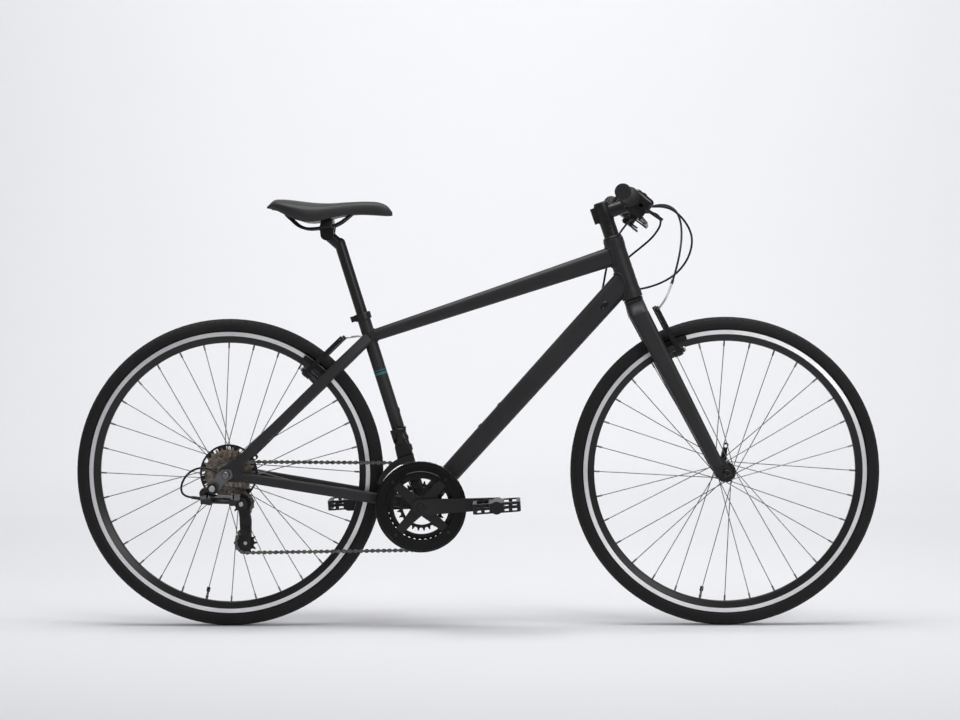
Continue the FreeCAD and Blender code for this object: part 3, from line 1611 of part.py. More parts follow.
def make_seatpost():
    """Hollow post with its head set back, bored across for the cradle bolt."""
    top = on_seat(number("post_height") - 18)
    low = number("seat_length") - number("post_insert")
    tube = rod_between(S.post_radius, on_seat(low), top)
    bore = rod_between(S.post_radius - S.post_wall, on_seat(low - 1), on_seat(number("post_height") - 45))
    neck = rod_between(S.post_radius, top - SEAT_UP * 6, POST_HEAD)
    cap = doc.addObject("Part::Sphere", "post_shoulder")
    bind(cap, "Radius", S.post_radius)
    cap.Placement.Base = top
    head = rod_between(14, POST_HEAD - LEFT * 17, POST_HEAD + LEFT * 17)
    bolt_room = rod_between(4, POST_HEAD - LEFT * 30, POST_HEAD + LEFT * 30)
    node("seatpost", cut(join(tube, cap, neck, head), bore, bolt_room))


def saddle_loft(shrink, drop, floor, trim):
    """Loft of the saddle from tail to nose: shrink narrows it, drop lowers the top, floor the underside."""
    length = number("saddle_length") - 2 * trim
    tail = SADDLE_TAIL + trim
    shares = (0.0, 0.025, 0.08, 0.16, 0.27, 0.40, 0.52, 0.64, 0.78, 0.92, 0.975, 1.0)
    widths = (0.30, 0.56, 0.80, 0.94, 1.0, 0.88, 0.62, 0.40, 0.29, 0.25, 0.21, 0.12)
    falls = (12, 6, 2, 0, 1, 4, 7, 7, 5, 6, 9, 15)
    depths = (14, 24, 36, 46, 50, 49, 42, 35, 30, 27, 23, 14)
    shoulder = 0.72
    sections = []
    for share, width, fall, depth in zip(shares, widths, falls, depths):
        half = number("saddle_half_width") * width - shrink
        top = number("saddle_top") - fall - drop
        low = number("saddle_top") - fall - depth - floor
        waist = low + (top - low) * 0.4
        brow = top - (top - waist) * 0.25

        def spot(across, height):
            return Vector(tail + share * length, half * across, height)

        sections.append(Part.Wire([
            Part.makeLine(spot(-0.9, low), spot(0.9, low)),
            Part.Arc(spot(0.9, low), spot(1, waist), spot(shoulder, brow)).toShape(),
            Part.Arc(spot(shoulder, brow), spot(0, top), spot(-shoulder, brow)).toShape(),
            Part.Arc(spot(-shoulder, brow), spot(-1, waist), spot(-0.9, low)).toShape(),
        ]))
    return shaped(Part.makeLoft(sections, True))


def rail_points(side):
    return [Vector(x, side * number("rail_spacing") * spread, z) for x, spread, z in RAIL_LINE]


def make_saddle():
    """Saddle: rails in their cradle, a moulded base with sockets for them, and the padded cover over it."""
    rails = [bent_rod(S.rail_radius, rail_points(side)) for side in SIDES.values()]
    pieces = list(rails)
    for side, rail in zip(SIDES.values(), rails):
        ear = plate("cradle_ear", [
            (-13, -13, 12),
            (13, -13, 12),
            (17, 22, 5),
            (-17, 22, 5),
        ], 8, frame_at(POST_HEAD + LEFT * side * 21.3, Vector(0, -1, 0), FORE))
        bolt_room = rod_between(3.9, POST_HEAD - LEFT * 40, POST_HEAD + LEFT * 40)
        pieces.append(cut(ear, rail, bolt_room))
    shank = rod_between(3.9, POST_HEAD - LEFT * 25.3, POST_HEAD + LEFT * 25.3)
    ends = [rod_between(7, POST_HEAD + LEFT * side * 25.3, POST_HEAD + LEFT * side * 30) for side in SIDES.values()]
    pieces.append(join(shank, *ends))
    node("saddle_rails", group(*pieces))
    outer = saddle_loft(0, 0, 0, 0)
    room = saddle_loft(4.5, 15, 2, 7)
    hollow = saddle_loft(7.5, 18, 8, 11)
    sockets = []
    for side in SIDES.values():
        for place in (rail_points(side)[0], rail_points(side)[-1]):
            sockets.append(block(20, 13, 30, frame_at(place - UP * 9, UP, FORE)))
    node("saddle_base", cut(room, cut(hollow, *sockets), *rails))
    node("saddle_cover", cut(outer, room))


# Axles and their levers

def make_axles():
    rear_axle, rear_skewer = axle_pieces(REAR, S.rear_drop_width, 20, 12)
    front_axle, front_skewer = axle_pieces(FRONT, S.front_drop_width, 18, 18)
    node("rear_axle", group(rear_axle, rear_skewer, hanger_plate()))
    node("front_axle", group(front_axle, front_skewer))
    node("front_qr_lever", quick_release_lever(FRONT, number("front_drop_width"), math.radians(80)))
    node("rear_qr_lever", quick_release_lever(REAR, number("rear_drop_width"), math.radians(31)))


HANGER_BOLT = Vector(-584, 0, 317)
HANGER_FACE = number("rear_drop_width") / 2 + number("drop_thickness")


def hanger_plate():
    """Plate clamped outside the right dropout, with an eye for the rear derailleur behind and below it."""
    where = frame_at(REAR - LEFT * (HANGER_FACE + 1.5), Vector(0, -1, 0), FORE)
    eye = HANGER_BOLT - REAR
    plain = plate("hanger", [
        (-8, 12, 6),
        (14, 13, 8),
        (16, -6, 8),
        (2, -13, 6),
        (eye.x + 12, eye.z - 6, 6),
        (eye.x + 2, eye.z - 11, 8),
        (eye.x - 11, eye.z - 2, 8),
        (eye.x - 6, eye.z + 12, 8),
    ], 3, where)
    axle_room = cylinder(S.nut_radius + 0.5, 20, moved(where, 0, 0, -10))
    bolt_room = cylinder(5, 20, moved(where, eye.x, eye.z, -10))
    return cut(plain, axle_room, bolt_room)


# Derailleurs

LINK_ORIGIN = Vector(-592, -84, 294)
LINK_LENGTH = 50
LINK_AXIS = Vector(0, math.sin(math.radians(40)), math.cos(math.radians(40)))
LINK_FRAME = frame_at(LINK_ORIGIN, LINK_AXIS, Vector(1, 0, -0.1))
LINK_GAP = 8
CAGE_GAP = 7
CAGE_WALL = 1.5


def knuckle_cheeks(place, back):
    """Two cheeks with the pins of both links between them, and the block behind that joins them."""
    pieces = []
    for sign in (-1, 1):
        pieces.append(plate("knuckle_cheek", [
            (place - 6, -13, 5),
            (place + 6, -13, 5),
            (place + 6, 13, 5),
            (place - 6, 13, 5),
        ], 4, moved(LINK_FRAME, 0, 0, sign * 6.3)))
        pieces.append(cylinder(2, 14, moved(LINK_FRAME, place, sign * LINK_GAP, -7)))
    middle = place + back * 12
    pieces.append(block(13, 20, 16.6, moved(LINK_FRAME, middle, 0, -8.3)))
    return pieces


def make_rear_derailleur():
    """Rear derailleur: knuckle on the hanger, slanted parallelogram, lower knuckle and the sprung cage."""
    hanger = HANGER_BOLT - LEFT * (HANGER_FACE + 3.3)
    drum = rod_between(12, hanger, hanger - LEFT * 17)
    elbow = Vector(-608, -85, 311)
    neck = bent_rod(7, [hanger - LEFT * 9, elbow, LINK_FRAME.multVec(Vector(-13, 0, 0))])
    barrel_root = LINK_FRAME.multVec(Vector(-17, 0, 0))
    barrel = rod_between(3.6, barrel_root, barrel_root + Vector(-22, 0, 3))
    stub = rod_between(4.95, hanger + LEFT * 3.2, hanger)
    node("rd_knuckle", join(drum, neck, stub, barrel, *knuckle_cheeks(0, -1)))
    for name, sign in (("inner", 1), ("outer", -1)):
        bar = plate("link_bar", [
            (-4.2, sign * LINK_GAP - 4.2, 4.1),
            (LINK_LENGTH + 4.2, sign * LINK_GAP - 4.2, 4.1),
            (LINK_LENGTH + 4.2, sign * LINK_GAP + 4.2, 4.1),
            (-4.2, sign * LINK_GAP + 4.2, 4.1),
        ], 8, LINK_FRAME)
        rooms = [cylinder(2.06, 20, moved(LINK_FRAME, place, sign * LINK_GAP, -10)) for place in (0, LINK_LENGTH)]
        node(f"rd_{name}_link", cut(bar, *rooms))
    guide = Vector(GUIDE[0], CHAIN_Y, GUIDE[1])
    tension = Vector(TENSION[0], CHAIN_Y, TENSION[1])
    outer_face = CHAIN_Y - CAGE_GAP - CAGE_WALL
    pivot = Vector(guide.x, outer_face - 0.3, guide.z)
    drum = rod_between(13, pivot, pivot - LEFT * 20)
    pivot_room = rod_between(4.06, pivot + LEFT, pivot - LEFT * 14)
    link_end = knuckle_cheeks(LINK_LENGTH, 1)
    node("rd_p_knuckle", cut(join(drum, *link_end), pivot_room))
    along = (tension - guide).normalize()
    reach = number("cage_length")
    pieces = []
    for level, tail in ((CHAIN_Y + CAGE_GAP + CAGE_WALL / 2, 12), (CHAIN_Y - CAGE_GAP - CAGE_WALL / 2, 15)):
        where = frame_at(Vector(guide.x, level, guide.z), Vector(0, -1, 0), along)
        pieces.append(plate("cage_plate", [
            (-12, -11, 9),
            (reach * 0.35, -9, 20),
            (reach + tail, -11, 8),
            (reach + tail, 11, 8),
            (reach * 0.45, 16, 20),
            (-12, 11, 9),
        ], CAGE_WALL, where))
    for place in (guide, tension):
        pieces.append(rod_between(2.9, place - LEFT * CAGE_GAP, place + LEFT * CAGE_GAP))
    pieces.append(rod_between(4, Vector(guide.x, outer_face + 0.5, guide.z), pivot - LEFT * 13))
    node("rd_cage", join(*pieces))
    teeth = int(number("pulley_teeth"))
    for name, wheel, centre in (("tension", 2, tension), ("guide", 3, guide)):
        disc = toothed_disc(teeth, 2.96, 2.2, CHAIN.phase(wheel), centre)
        hub = Part.makeCylinder(7, 12, centre - LEFT * 6, LEFT)
        hub = hub.cut(Part.makeCylinder(2.96, 12, centre - LEFT * 6, LEFT))
        node(f"{name}_pulley", shaped(disc.fuse(hub)))


FD_BAND = 124
FD_ARM = 144
FD_PIVOT = Vector(-169, -36, 442)
FD_SWING = Vector(0, -8, -26.8)
FD_HALF = 6


def make_front_derailleur():
    """Front derailleur: band on the seat tube with its body, one link, and the cage round the chain."""
    low = on_seat(FD_BAND)
    band = rod_between(S.seat_radius + 3, low, low + SEAT_UP * 14)
    tube_room = rod_between(S.seat_radius, low - SEAT_UP * 30, low + SEAT_UP * 60)
    strut = block(10, 10, 20, frame_at(on_seat(FD_ARM - 16, -4, -16), SEAT_UP, SEAT_FORE))
    arm = block(26, 26, 36, frame_at(on_seat(FD_ARM, -4, -24), SEAT_UP, SEAT_FORE))
    yoke = block(24, 20, 14, frame_at(FD_PIVOT - UP * 5, UP, FORE))
    link_room = block(2 * FD_HALF + 0.6, 40, 60, frame_at(FD_PIVOT + Vector(0, -12, -46), UP, FORE))
    swing_room = block(2 * FD_HALF + 0.6, 46, 40, frame_at(FD_PIVOT + Vector(0, -9, -46), UP, FORE))
    cheek_room = block(2 * FD_HALF + 18, 46, 31.5, frame_at(FD_PIVOT + Vector(0, -9, -52), UP, FORE))
    pin = rod_between(2, FD_PIVOT - FORE * 11, FD_PIVOT + FORE * 11)
    body = cut(join(band, strut, arm, yoke), tube_room, link_room, swing_room, cheek_room)
    node("front_derailleur_body", join(body, pin))
    end = FD_PIVOT + FD_SWING
    where = frame_at(FD_PIVOT, FORE, FD_SWING)
    reach = FD_SWING.Length
    bar = plate("fd_link_bar", [
        (-5, -5, 4.9),
        (reach + 5, -5, 4.9),
        (reach + 5, 5, 4.9),
        (-5, 5, 4.9),
    ], 2 * FD_HALF, where)
    rooms = [rod_between(2.06, place - FORE * 20, place + FORE * 20) for place in (FD_PIVOT, end)]
    node("fd_link", cut(bar, *rooms))
    pieces = [rod_between(2, end - FORE * 11, end + FORE * 11)]
    for sign in (-1, 1):
        cheek_frame = frame_at(end + FORE * sign * (FD_HALF + 2.6) - UP * 16.5, UP, FORE)
        pieces.append(block(4.5, 11, 22, cheek_frame))
    pieces.append(block(24, 16, 3, frame_at(Vector(end.x, CHAIN_Y, end.z - 17.5), UP, FORE)))
    pieces.append(block(16, 12, 3, frame_at(Vector(end.x, CHAIN_Y + 8, end.z - 17.5), UP, FORE)))
    for level, drop in ((CHAIN_Y + 7, 4), (CHAIN_Y - 7, 0)):
        pieces.append(plate("fd_cage_plate", [
            (-202, 368 - drop, 3),
            (-147, 379 - drop, 3),
            (-144, 390, 3),
            (-156, 401, 3),
            (-182, 401, 3),
            (-204, 384, 3),
        ], CAGE_WALL, frame_at(Vector(0, level, 0), Vector(0, -1, 0), FORE)))
    node("fd_cage", join(*pieces))


# Cables

FRONT_STUDS = on_steerer(number("front_stud_height"), blade_centre(number("front_stud_height")))
REAR_STUDS = REAR + SEAT_STAY_UP * number("rear_stud_height")
FRONT_WIRE = FRONT_STUDS + BLADE_UP * (number("arm_length") - 3) + BLADE_OUT * number("arm_offset")
REAR_WIRE = REAR_STUDS + SEAT_STAY_UP * (number("arm_length") - 3) + SEAT_STAY_OUT * number("arm_offset")
DOWN_ALONG = (on_steerer(HEAD_LOW + number("down_on_head")) - BRACKET).normalize()


def barrel_tip(side):
    return control_frame(side).multVec(Vector(32, -24 * side, 0)) - bar_out(side) * 15.2


def pod_mouth(side):
    return control_frame(side).multVec(Vector(30, -31.6 * side, -16))


def down_port(below):
    """Point beside the down tube's left wall, below the head tube by a length."""
    return on_steerer(HEAD_LOW + number("down_on_head")) - DOWN_ALONG * below + LEFT * 23.6


def wire_and_boot(place, side):
    """Bare wire between the two arms of a brake, with the rubber boot on its noodle's end."""
    end = place + LEFT * side * 26
    wire = rod_between(S.wire_radius, end, place - LEFT * side * 54)
    boot = turned("boot", [
        (S.wire_radius, 0),
        (5, 0, 1),
        (5.4, 8, 1),
        (4, 11, 1),
        (5, 14, 1),
        (4, 17, 1),
        (4.6, 20, 1),
        (3, 34, 1),
        (S.wire_radius, 34),
    ], frame_at(end - LEFT * side * 0.1, LEFT * -side, FORE))
    return wire, boot


def make_cables():
    """Cables laid as they hang at rest, each held at both ends."""
    left, right = SIDES["left"], SIDES["right"]
    start = barrel_tip(left)
    front = bent_rod(S.housing_radius, [
        start,
        start - bar_out(left) * 14,
        start - bar_out(left) * 28 + Vector(8, 0, 4),
        Vector(418, 72, 948),
        Vector(447, 40, 938),
        Vector(460, 24, 911),
        Vector(462, 8, 878),
        Vector(457, -16, 842),
        Vector(447, -38, 802),
        Vector(434, -56, 764),
        Vector(420, -70, 731),
        FRONT_WIRE + LEFT * right * 62,
        FRONT_WIRE + LEFT * right * 28,
    ])
    node("front_brake_cable", group(front, *wire_and_boot(FRONT_WIRE, right)))
    start = barrel_tip(right)
    rear_brake = bent_rod(S.housing_radius, [
        start,
        start - bar_out(right) * 14,
        start - bar_out(right) * 28 + Vector(8, 0, 3),
        Vector(426, -76, 936),
        Vector(458, -52, 914),
        Vector(480, -30, 882),
        Vector(484, -10, 852),
        Vector(474, 10, 818),
        Vector(450, 28, 787),
        Vector(414, 40, 766),
        Vector(372, 46, 754),
        Vector(334, 42, 752),
        down_port(45),
    ])
    start = pod_mouth(right)
    rear_shift = bent_rod(S.housing_radius, [
        start,
        start - bar_out(right) * 12,
        start - bar_out(right) * 26 + Vector(4, 0, 1),
        Vector(402, -84, 922),
        Vector(414, -52, 900),
        Vector(396, -14, 870),
        Vector(368, 18, 846),
        Vector(338, 38, 822),
        Vector(314, 44, 788),
        Vector(300, 38, 754),
        down_port(72),
    ])
    start = pod_mouth(left)
    front_shift = bent_rod(S.housing_radius, [
        start,
        start - bar_out(left) * 12,
        start - bar_out(left) * 26 + Vector(0, 0, -2),
        Vector(332, 74, 892),
        Vector(306, 56, 852),
        Vector(294, 50, 802),
        Vector(286, 46, 756),
        Vector(276, 36, 728),
        down_port(100),
    ])
    rear_noodle = bent_rod(S.housing_radius, [
        Vector(-256, 25, 648),
        Vector(-264, 64, 651),
        Vector(-288, 84, 648),
        REAR_WIRE + LEFT * 66,
        REAR_WIRE + LEFT * 28,
    ])
    barrel_way = Vector(-22, 0, 3).normalize()
    loop_end = LINK_FRAME.multVec(Vector(-17, 0, 0)) + Vector(-22, 0, 3) + barrel_way * 0.3
    derailleur_loop = bent_rod(S.housing_radius, [
        Vector(-575, -70.5, 352),
        Vector(-600, -74, 365),
        Vector(-632, -79, 358),
        Vector(-652, -83, 334),
        Vector(-655, -84, 310),
        loop_end + barrel_way * 12,
        loop_end,
    ])
    shift_wire = rod_between(S.wire_radius, on_seat(24, -10.7, -15.3), on_seat(FD_ARM - 0.2, -10.7, -15.3))
    node("frame_cables", group(rear_brake, rear_shift, front_shift, rear_noodle, derailleur_loop, shift_wire,
                               *wire_and_boot(REAR_WIRE, left)))


def make_all():
    make_head_tube()
    make_seat_tube()
    make_main_tubes()
    make_seat_stays(make_chain_stays())
    make_seat_clamp()
    make_bottom_bracket()
    front_hub = make_wheel("front", FRONT, S.front_flange_offset, S.front_flange_offset, 6)
    node("front_hub", front_hub)
    rear_hub = make_wheel("rear", REAR, S.rear_flange_right, S.rear_flange_left, 5.3)
    node("rear_hub", group(rear_hub, make_spoke_protector()))
    make_axles()
    make_fork()
    make_headset_spacers()
    make_stem()
    make_handlebar()
    make_grips()
    make_controls()
    make_levers()
    make_brake("front", FRONT, FRONT_STUDS, BLADE_UP, BLADE_OUT, SIDES["right"])
    make_brake("rear", REAR, REAR_STUDS, SEAT_STAY_UP, SEAT_STAY_OUT, SIDES["left"])
    make_chain()
    make_chainrings()
    make_chain_guard()
    make_cranks()
    make_pedals()
    make_sprockets()
    make_rear_derailleur()
    make_front_derailleur()
    make_seatpost()
    make_saddle()
    make_cables()


make_all()
doc.recompute()
for item in doc.Objects:
    if "Invalid" in item.State or "Error" in item.State:
        raise RuntimeError(f"{item.Label} did not build: {item.State}")
for item in NODES:
    if item.Shape.isNull() or not item.Shape.isValid():
        raise RuntimeError(f"{item.Label} has no valid shape")
os.makedirs("parts", exist_ok=True)
for item in NODES:
    item.Shape.exportStep(f"parts/{item.Label}.step")
    print(item.Label, len(item.Shape.Solids), "solids")
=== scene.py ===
# %% [markdown]
# # A flat-bar hybrid bicycle in a pale studio
# The imported CAD model is the fixed frame of this lesson: every tube, spoke, sprocket and link is already
# where it belongs. What Blender adds is what the eye notices next: paint, rubber, machined metal, soft
# cables, a padded saddle and the small bright fasteners. We load the frame first.

# %% Load the imported frame
import json
import math

import bpy
from mathutils import Matrix, Vector

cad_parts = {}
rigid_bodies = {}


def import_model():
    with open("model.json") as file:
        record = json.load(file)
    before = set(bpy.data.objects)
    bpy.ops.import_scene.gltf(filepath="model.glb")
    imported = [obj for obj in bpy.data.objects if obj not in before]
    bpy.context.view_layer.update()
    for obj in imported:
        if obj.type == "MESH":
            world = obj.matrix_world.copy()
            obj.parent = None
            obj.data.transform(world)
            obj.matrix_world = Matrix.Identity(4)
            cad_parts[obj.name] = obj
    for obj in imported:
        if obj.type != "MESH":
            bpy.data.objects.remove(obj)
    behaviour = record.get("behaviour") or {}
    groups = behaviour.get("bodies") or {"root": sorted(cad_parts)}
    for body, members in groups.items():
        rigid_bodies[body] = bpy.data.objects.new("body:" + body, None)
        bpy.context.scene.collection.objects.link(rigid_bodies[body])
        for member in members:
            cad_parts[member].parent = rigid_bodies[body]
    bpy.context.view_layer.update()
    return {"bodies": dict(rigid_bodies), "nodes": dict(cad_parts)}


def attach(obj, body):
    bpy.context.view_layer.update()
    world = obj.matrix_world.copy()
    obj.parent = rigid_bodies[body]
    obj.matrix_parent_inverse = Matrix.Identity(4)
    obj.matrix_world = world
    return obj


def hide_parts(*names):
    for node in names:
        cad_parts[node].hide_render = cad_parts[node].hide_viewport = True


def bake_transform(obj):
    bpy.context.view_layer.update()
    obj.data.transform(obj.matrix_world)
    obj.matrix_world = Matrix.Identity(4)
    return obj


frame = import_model()
keep = set(frame["nodes"].values()) | set(frame["bodies"].values())
for item in list(bpy.data.objects):
    if item not in keep:
        bpy.data.objects.remove(item)

# %% [markdown]
# ## Places on the bicycle
# A bicycle is laid out from a handful of points: the two axles, the bottom bracket, the seat tube's
# direction and the steering axis. Cables, bolts and bands below are all placed from these, in metres.

# %% Points and directions
REAR_AXLE = Vector((-0.556, 0, 0.346))
FRONT_AXLE = Vector((0.556, 0, 0.346))
BRACKET = Vector((-0.12311, 0, 0.273))
SEAT_UP = Vector((-0.29571, 0, 0.95528))
STEER_UP = Vector((-0.31896, 0, 0.94777))
STAY_UP = Vector((0.72107, 0, 0.69286))
STAY_OUT = Vector((-0.69286, 0, 0.72107))
BLADE_UP = Vector((-0.45579, 0, 0.89009))
BLADE_OUT = Vector((0.89009, 0, 0.45579))
FRONT_STUDS = Vector((0.41609, 0, 0.59751))
REAR_STUDS = Vector((-0.35049, 0, 0.54346))
FRONT_WIRE = Vector((0.40384, 0, 0.70920))
REAR_WIRE = Vector((-0.30250, 0, 0.64506))
LEFT = Vector((0, 1, 0))
RIGHT = Vector((0, -1, 0))
print("wheel base", round((FRONT_AXLE - REAR_AXLE).length, 3), "m")

# %% [markdown]
# ## The camera
# The photograph shows the drive side from almost straight on, with a long lens, so the wheels stay nearly
# round. The place, the three small turns and the focal length were fitted to the axles, the tread and the
# grips.

# %% Camera
IMAGE_WIDTH = 960
FOCAL_PIXELS = 2170.0
CAMERA_AT = (0.1102, -4.8693, 0.7594)
YAW, TILT, ROLL = -0.0209, -0.0333, -0.00455
bpy.ops.object.camera_add(location=CAMERA_AT)
camera = bpy.context.object
camera.name = "studio_camera"
turn = Matrix.Rotation(-YAW, 4, "Z") @ Matrix.Rotation(math.pi / 2 + TILT, 4, "X")
camera.rotation_euler = (turn @ Matrix.Rotation(ROLL, 4, "Z")).to_euler()
camera.data.sensor_fit = "HORIZONTAL"
camera.data.sensor_width = 36
camera.data.lens = FOCAL_PIXELS * camera.data.sensor_width / IMAGE_WIDTH
bpy.context.scene.camera = camera
print("lens", round(camera.data.lens, 1), "mm")

# %% [markdown]
# ## Modelling by hand, in code
# New pieces are made the way a hand would make them in edit mode: start from a primitive, extrude ring
# after ring, scale each ring, close the ends. Operators act on whatever is selected, so everything is
# deselected first. A finished piece keeps its object at the origin and its place in its mesh.

# %% Helpers for starting and placing a piece
def select_only(item):
    bpy.ops.object.select_all(action="DESELECT")
    item.select_set(True)
    bpy.context.view_layer.objects.active = item


def start_from(primitive, name, **settings):
    """New primitive, alone in the selection."""
    bpy.ops.object.select_all(action="DESELECT")
    primitive(**settings)
    bpy.context.object.name = name
    return bpy.context.object


def box_of(name, size):
    """Box of this size round the origin."""
    piece = start_from(bpy.ops.mesh.primitive_cube_add, name, size=1)
    piece.scale = size
    bpy.ops.object.transform_apply(location=True, rotation=True, scale=True)
    return piece


def draw_in(piece, share):
    """Narrows the upper end of a box."""
    for vertex in piece.data.vertices:
        if vertex.co.z > 0:
            vertex.co.x *= share
            vertex.co.y *= share
    return piece


def frame_matrix(origin, axis, across=None):
    """Matrix whose local Z follows the axis."""
    z = Vector(axis).normalized()
    x = Vector(across) if across is not None else z.orthogonal()
    y = z.cross(x).normalized()
    x = y.cross(z)
    return Matrix.Translation(Vector(origin)) @ Matrix((x, y, z)).transposed().to_4x4()


def place(piece, matrix):
    """Puts a piece that was modelled round the origin where it belongs, in its mesh."""
    select_only(piece)
    bpy.ops.object.transform_apply(location=True, rotation=True, scale=True)
    piece.data.transform(matrix)
    piece.data.update()
    return piece


# %% Helpers for shaping and joining
def ring_stack(name, rings, sides=32):
    """Turned piece: one circle, then an extrusion and a scaling for every further (radius, height)."""
    radius, height = rings[0]
    piece = start_from(bpy.ops.mesh.primitive_circle_add, name, vertices=sides, radius=radius)
    bpy.ops.object.mode_set(mode="EDIT")
    bpy.ops.mesh.select_all(action="SELECT")
    bpy.ops.transform.translate(value=(0, 0, height))
    for next_radius, next_height in rings[1:]:
        bpy.ops.mesh.extrude_edges_move(TRANSFORM_OT_translate={"value": (0, 0, next_height - height)})
        share = next_radius / radius
        bpy.ops.transform.resize(value=(share, share, 1), center_override=(0, 0, next_height))
        radius, height = next_radius, next_height
    bpy.ops.mesh.select_all(action="SELECT")
    bpy.ops.mesh.fill_holes(sides=0)
    bpy.ops.mesh.normals_make_consistent(inside=False)
    bpy.ops.object.mode_set(mode="OBJECT")
    return piece


def modify(piece, kind, **settings):
    """Adds a modifier, sets it up and applies it."""
    select_only(piece)
    modifier = piece.modifiers.new(kind.lower(), kind)
    for label, value in settings.items():
        setattr(modifier, label, value)
    bpy.ops.object.modifier_apply(modifier=modifier.name)
    return piece


def smooth(piece, degrees):
    select_only(piece)
    bpy.ops.object.shade_smooth_by_angle(angle=math.radians(degrees))
    return piece


def copy_of(piece, name):
    """Copy with a mesh of its own."""
    twin = piece.copy()
    twin.data = piece.data.copy()
    twin.name = name
    bpy.context.scene.collection.objects.link(twin)
    return twin


def join(name, pieces):
    """One piece out of several."""
    bpy.ops.object.select_all(action="DESELECT")
    for piece in pieces:
        piece.select_set(True)
    bpy.context.view_layer.objects.active = pieces[0]
    bpy.ops.object.join()
    pieces[0].name = name
    return pieces[0]


def spoke_way(angle):
    """Direction in the wheel's plane."""
    return Vector((math.cos(angle), 0, math.sin(angle)))


print("helpers ready")

# %% [markdown]
# ## Shared effects
# Several finishes share the same small effects: a fine grain that keeps paint and plastic from looking
# like wax, a slow cloudiness in the colour, the polar coordinates of a wheel, and a mask for a band. Each
# is a node group, built once and placed in the materials with its own values. They read Object
# coordinates, which here are metres.

# %% Node helpers
def new_group(name, inputs, outputs):
    group = bpy.data.node_groups.new(name, "ShaderNodeTree")
    for label, kind, value in inputs:
        socket = group.interface.new_socket(name=label, in_out="INPUT", socket_type=kind)
        socket.default_value = value
    for label, kind in outputs:
        group.interface.new_socket(name=label, in_out="OUTPUT", socket_type=kind)
    return group, group.nodes.new("NodeGroupInput"), group.nodes.new("NodeGroupOutput")


def feed(tree, value, socket):
    """Links a socket, or sets a plain value."""
    if hasattr(value, "links"):
        tree.links.new(value, socket)
    else:
        socket.default_value = value


def math_node(tree, operation, *values, clamp=False):
    """Math node whose inputs are numbers or sockets; gives its output socket."""
    item = tree.nodes.new("ShaderNodeMath")
    item.operation = operation
    item.use_clamp = clamp
    for index, value in enumerate(values):
        feed(tree, value, item.inputs[index])
    return item.outputs[0]


def times(tree, first, second):
    return math_node(tree, "MULTIPLY", first, second)


def plus(tree, first, second):
    return math_node(tree, "ADD", first, second)


def minus(tree, first, second):
    return math_node(tree, "SUBTRACT", first, second)


def vector_node(tree, operation, first, second):
    item = tree.nodes.new("ShaderNodeVectorMath")
    item.operation = operation
    feed(tree, first, item.inputs[0])
    feed(tree, second, item.inputs[1])
    return item.outputs


def object_spot(tree):
    return tree.nodes.new("ShaderNodeTexCoord").outputs["Object"]


def axes_of(tree, vector):
    """The three parts of a vector."""
    parts = tree.nodes.new("ShaderNodeSeparateXYZ")
    tree.links.new(vector, parts.inputs[0])
    return parts.outputs


def object_axis(tree, label):
    """One of the Object coordinates X, Y and Z."""
    return axes_of(tree, object_spot(tree))[label]


def noise(tree, vector, scale, detail, roughness):
    item = tree.nodes.new("ShaderNodeTexNoise")
    item.inputs["Detail"].default_value = detail
    item.inputs["Roughness"].default_value = roughness
    tree.links.new(vector, item.inputs["Vector"])
    tree.links.new(scale, item.inputs["Scale"])
    return item.outputs["Fac"]


# %% Grain and cloud
FLOAT, VECTOR = "NodeSocketFloat", "NodeSocketVector"
grain_group, given, result = new_group(
    "fine_grain",
    [("Scale", FLOAT, 900.0), ("Cloud Scale", FLOAT, 14.0)],
    [("Grain", FLOAT), ("Cloud", FLOAT)])
spot = object_spot(grain_group)
grain = noise(grain_group, spot, given.outputs["Scale"], 3.0, 0.6)
cloud = noise(grain_group, spot, given.outputs["Cloud Scale"], 4.0, 0.55)
grain_group.links.new(grain, result.inputs["Grain"])
grain_group.links.new(cloud, result.inputs["Cloud"])
print("group", grain_group.name)

# %% Wheel coordinates
polar_group, given, result = new_group(
    "wheel_polar",
    [("Axle", VECTOR, (0.0, 0.0, 0.0))],
    [("Radius", FLOAT), ("Angle", FLOAT), ("Across", FLOAT)])
from_axle = vector_node(polar_group, "SUBTRACT", object_spot(polar_group), given.outputs["Axle"])["Vector"]
x, y, z = axes_of(polar_group, from_axle)
squares = plus(polar_group, times(polar_group, x, x), times(polar_group, z, z))
polar_group.links.new(math_node(polar_group, "SQRT", squares), result.inputs["Radius"])
polar_group.links.new(math_node(polar_group, "ARCTAN2", z, x), result.inputs["Angle"])
polar_group.links.new(y, result.inputs["Across"])
print("group", polar_group.name)

# %% A band between two values
band_group, given, result = new_group(
    "soft_band",
    [("Value", FLOAT, 0.0), ("Low", FLOAT, 0.0), ("High", FLOAT, 1.0), ("Blur", FLOAT, 0.0005)],
    [("Mask", FLOAT)])
above = minus(band_group, given.outputs["Value"], given.outputs["Low"])
below = minus(band_group, given.outputs["High"], given.outputs["Value"])
rise = math_node(band_group, "DIVIDE", above, given.outputs["Blur"], clamp=True)
fall = math_node(band_group, "DIVIDE", below, given.outputs["Blur"], clamp=True)
band_group.links.new(times(band_group, rise, fall), result.inputs["Mask"])
print("group", band_group.name)

# %% [markdown]
# ## Materials
# Nearly everything on this bicycle is black, so the finishes are told apart by their gloss: the frame is
# a satin powder coat, the alloy parts are anodised, plastic has a moulded grain, rubber is dull. Each
# material below has its own colour, a roughness that wanders a little, and a fine bump.

# %% Nodes of a finish
CLOUD_LOW, CLOUD_HIGH = 0.3, 0.7
GRAIN_STRENGTH = 0.35
METAL_SHINE = 0.5


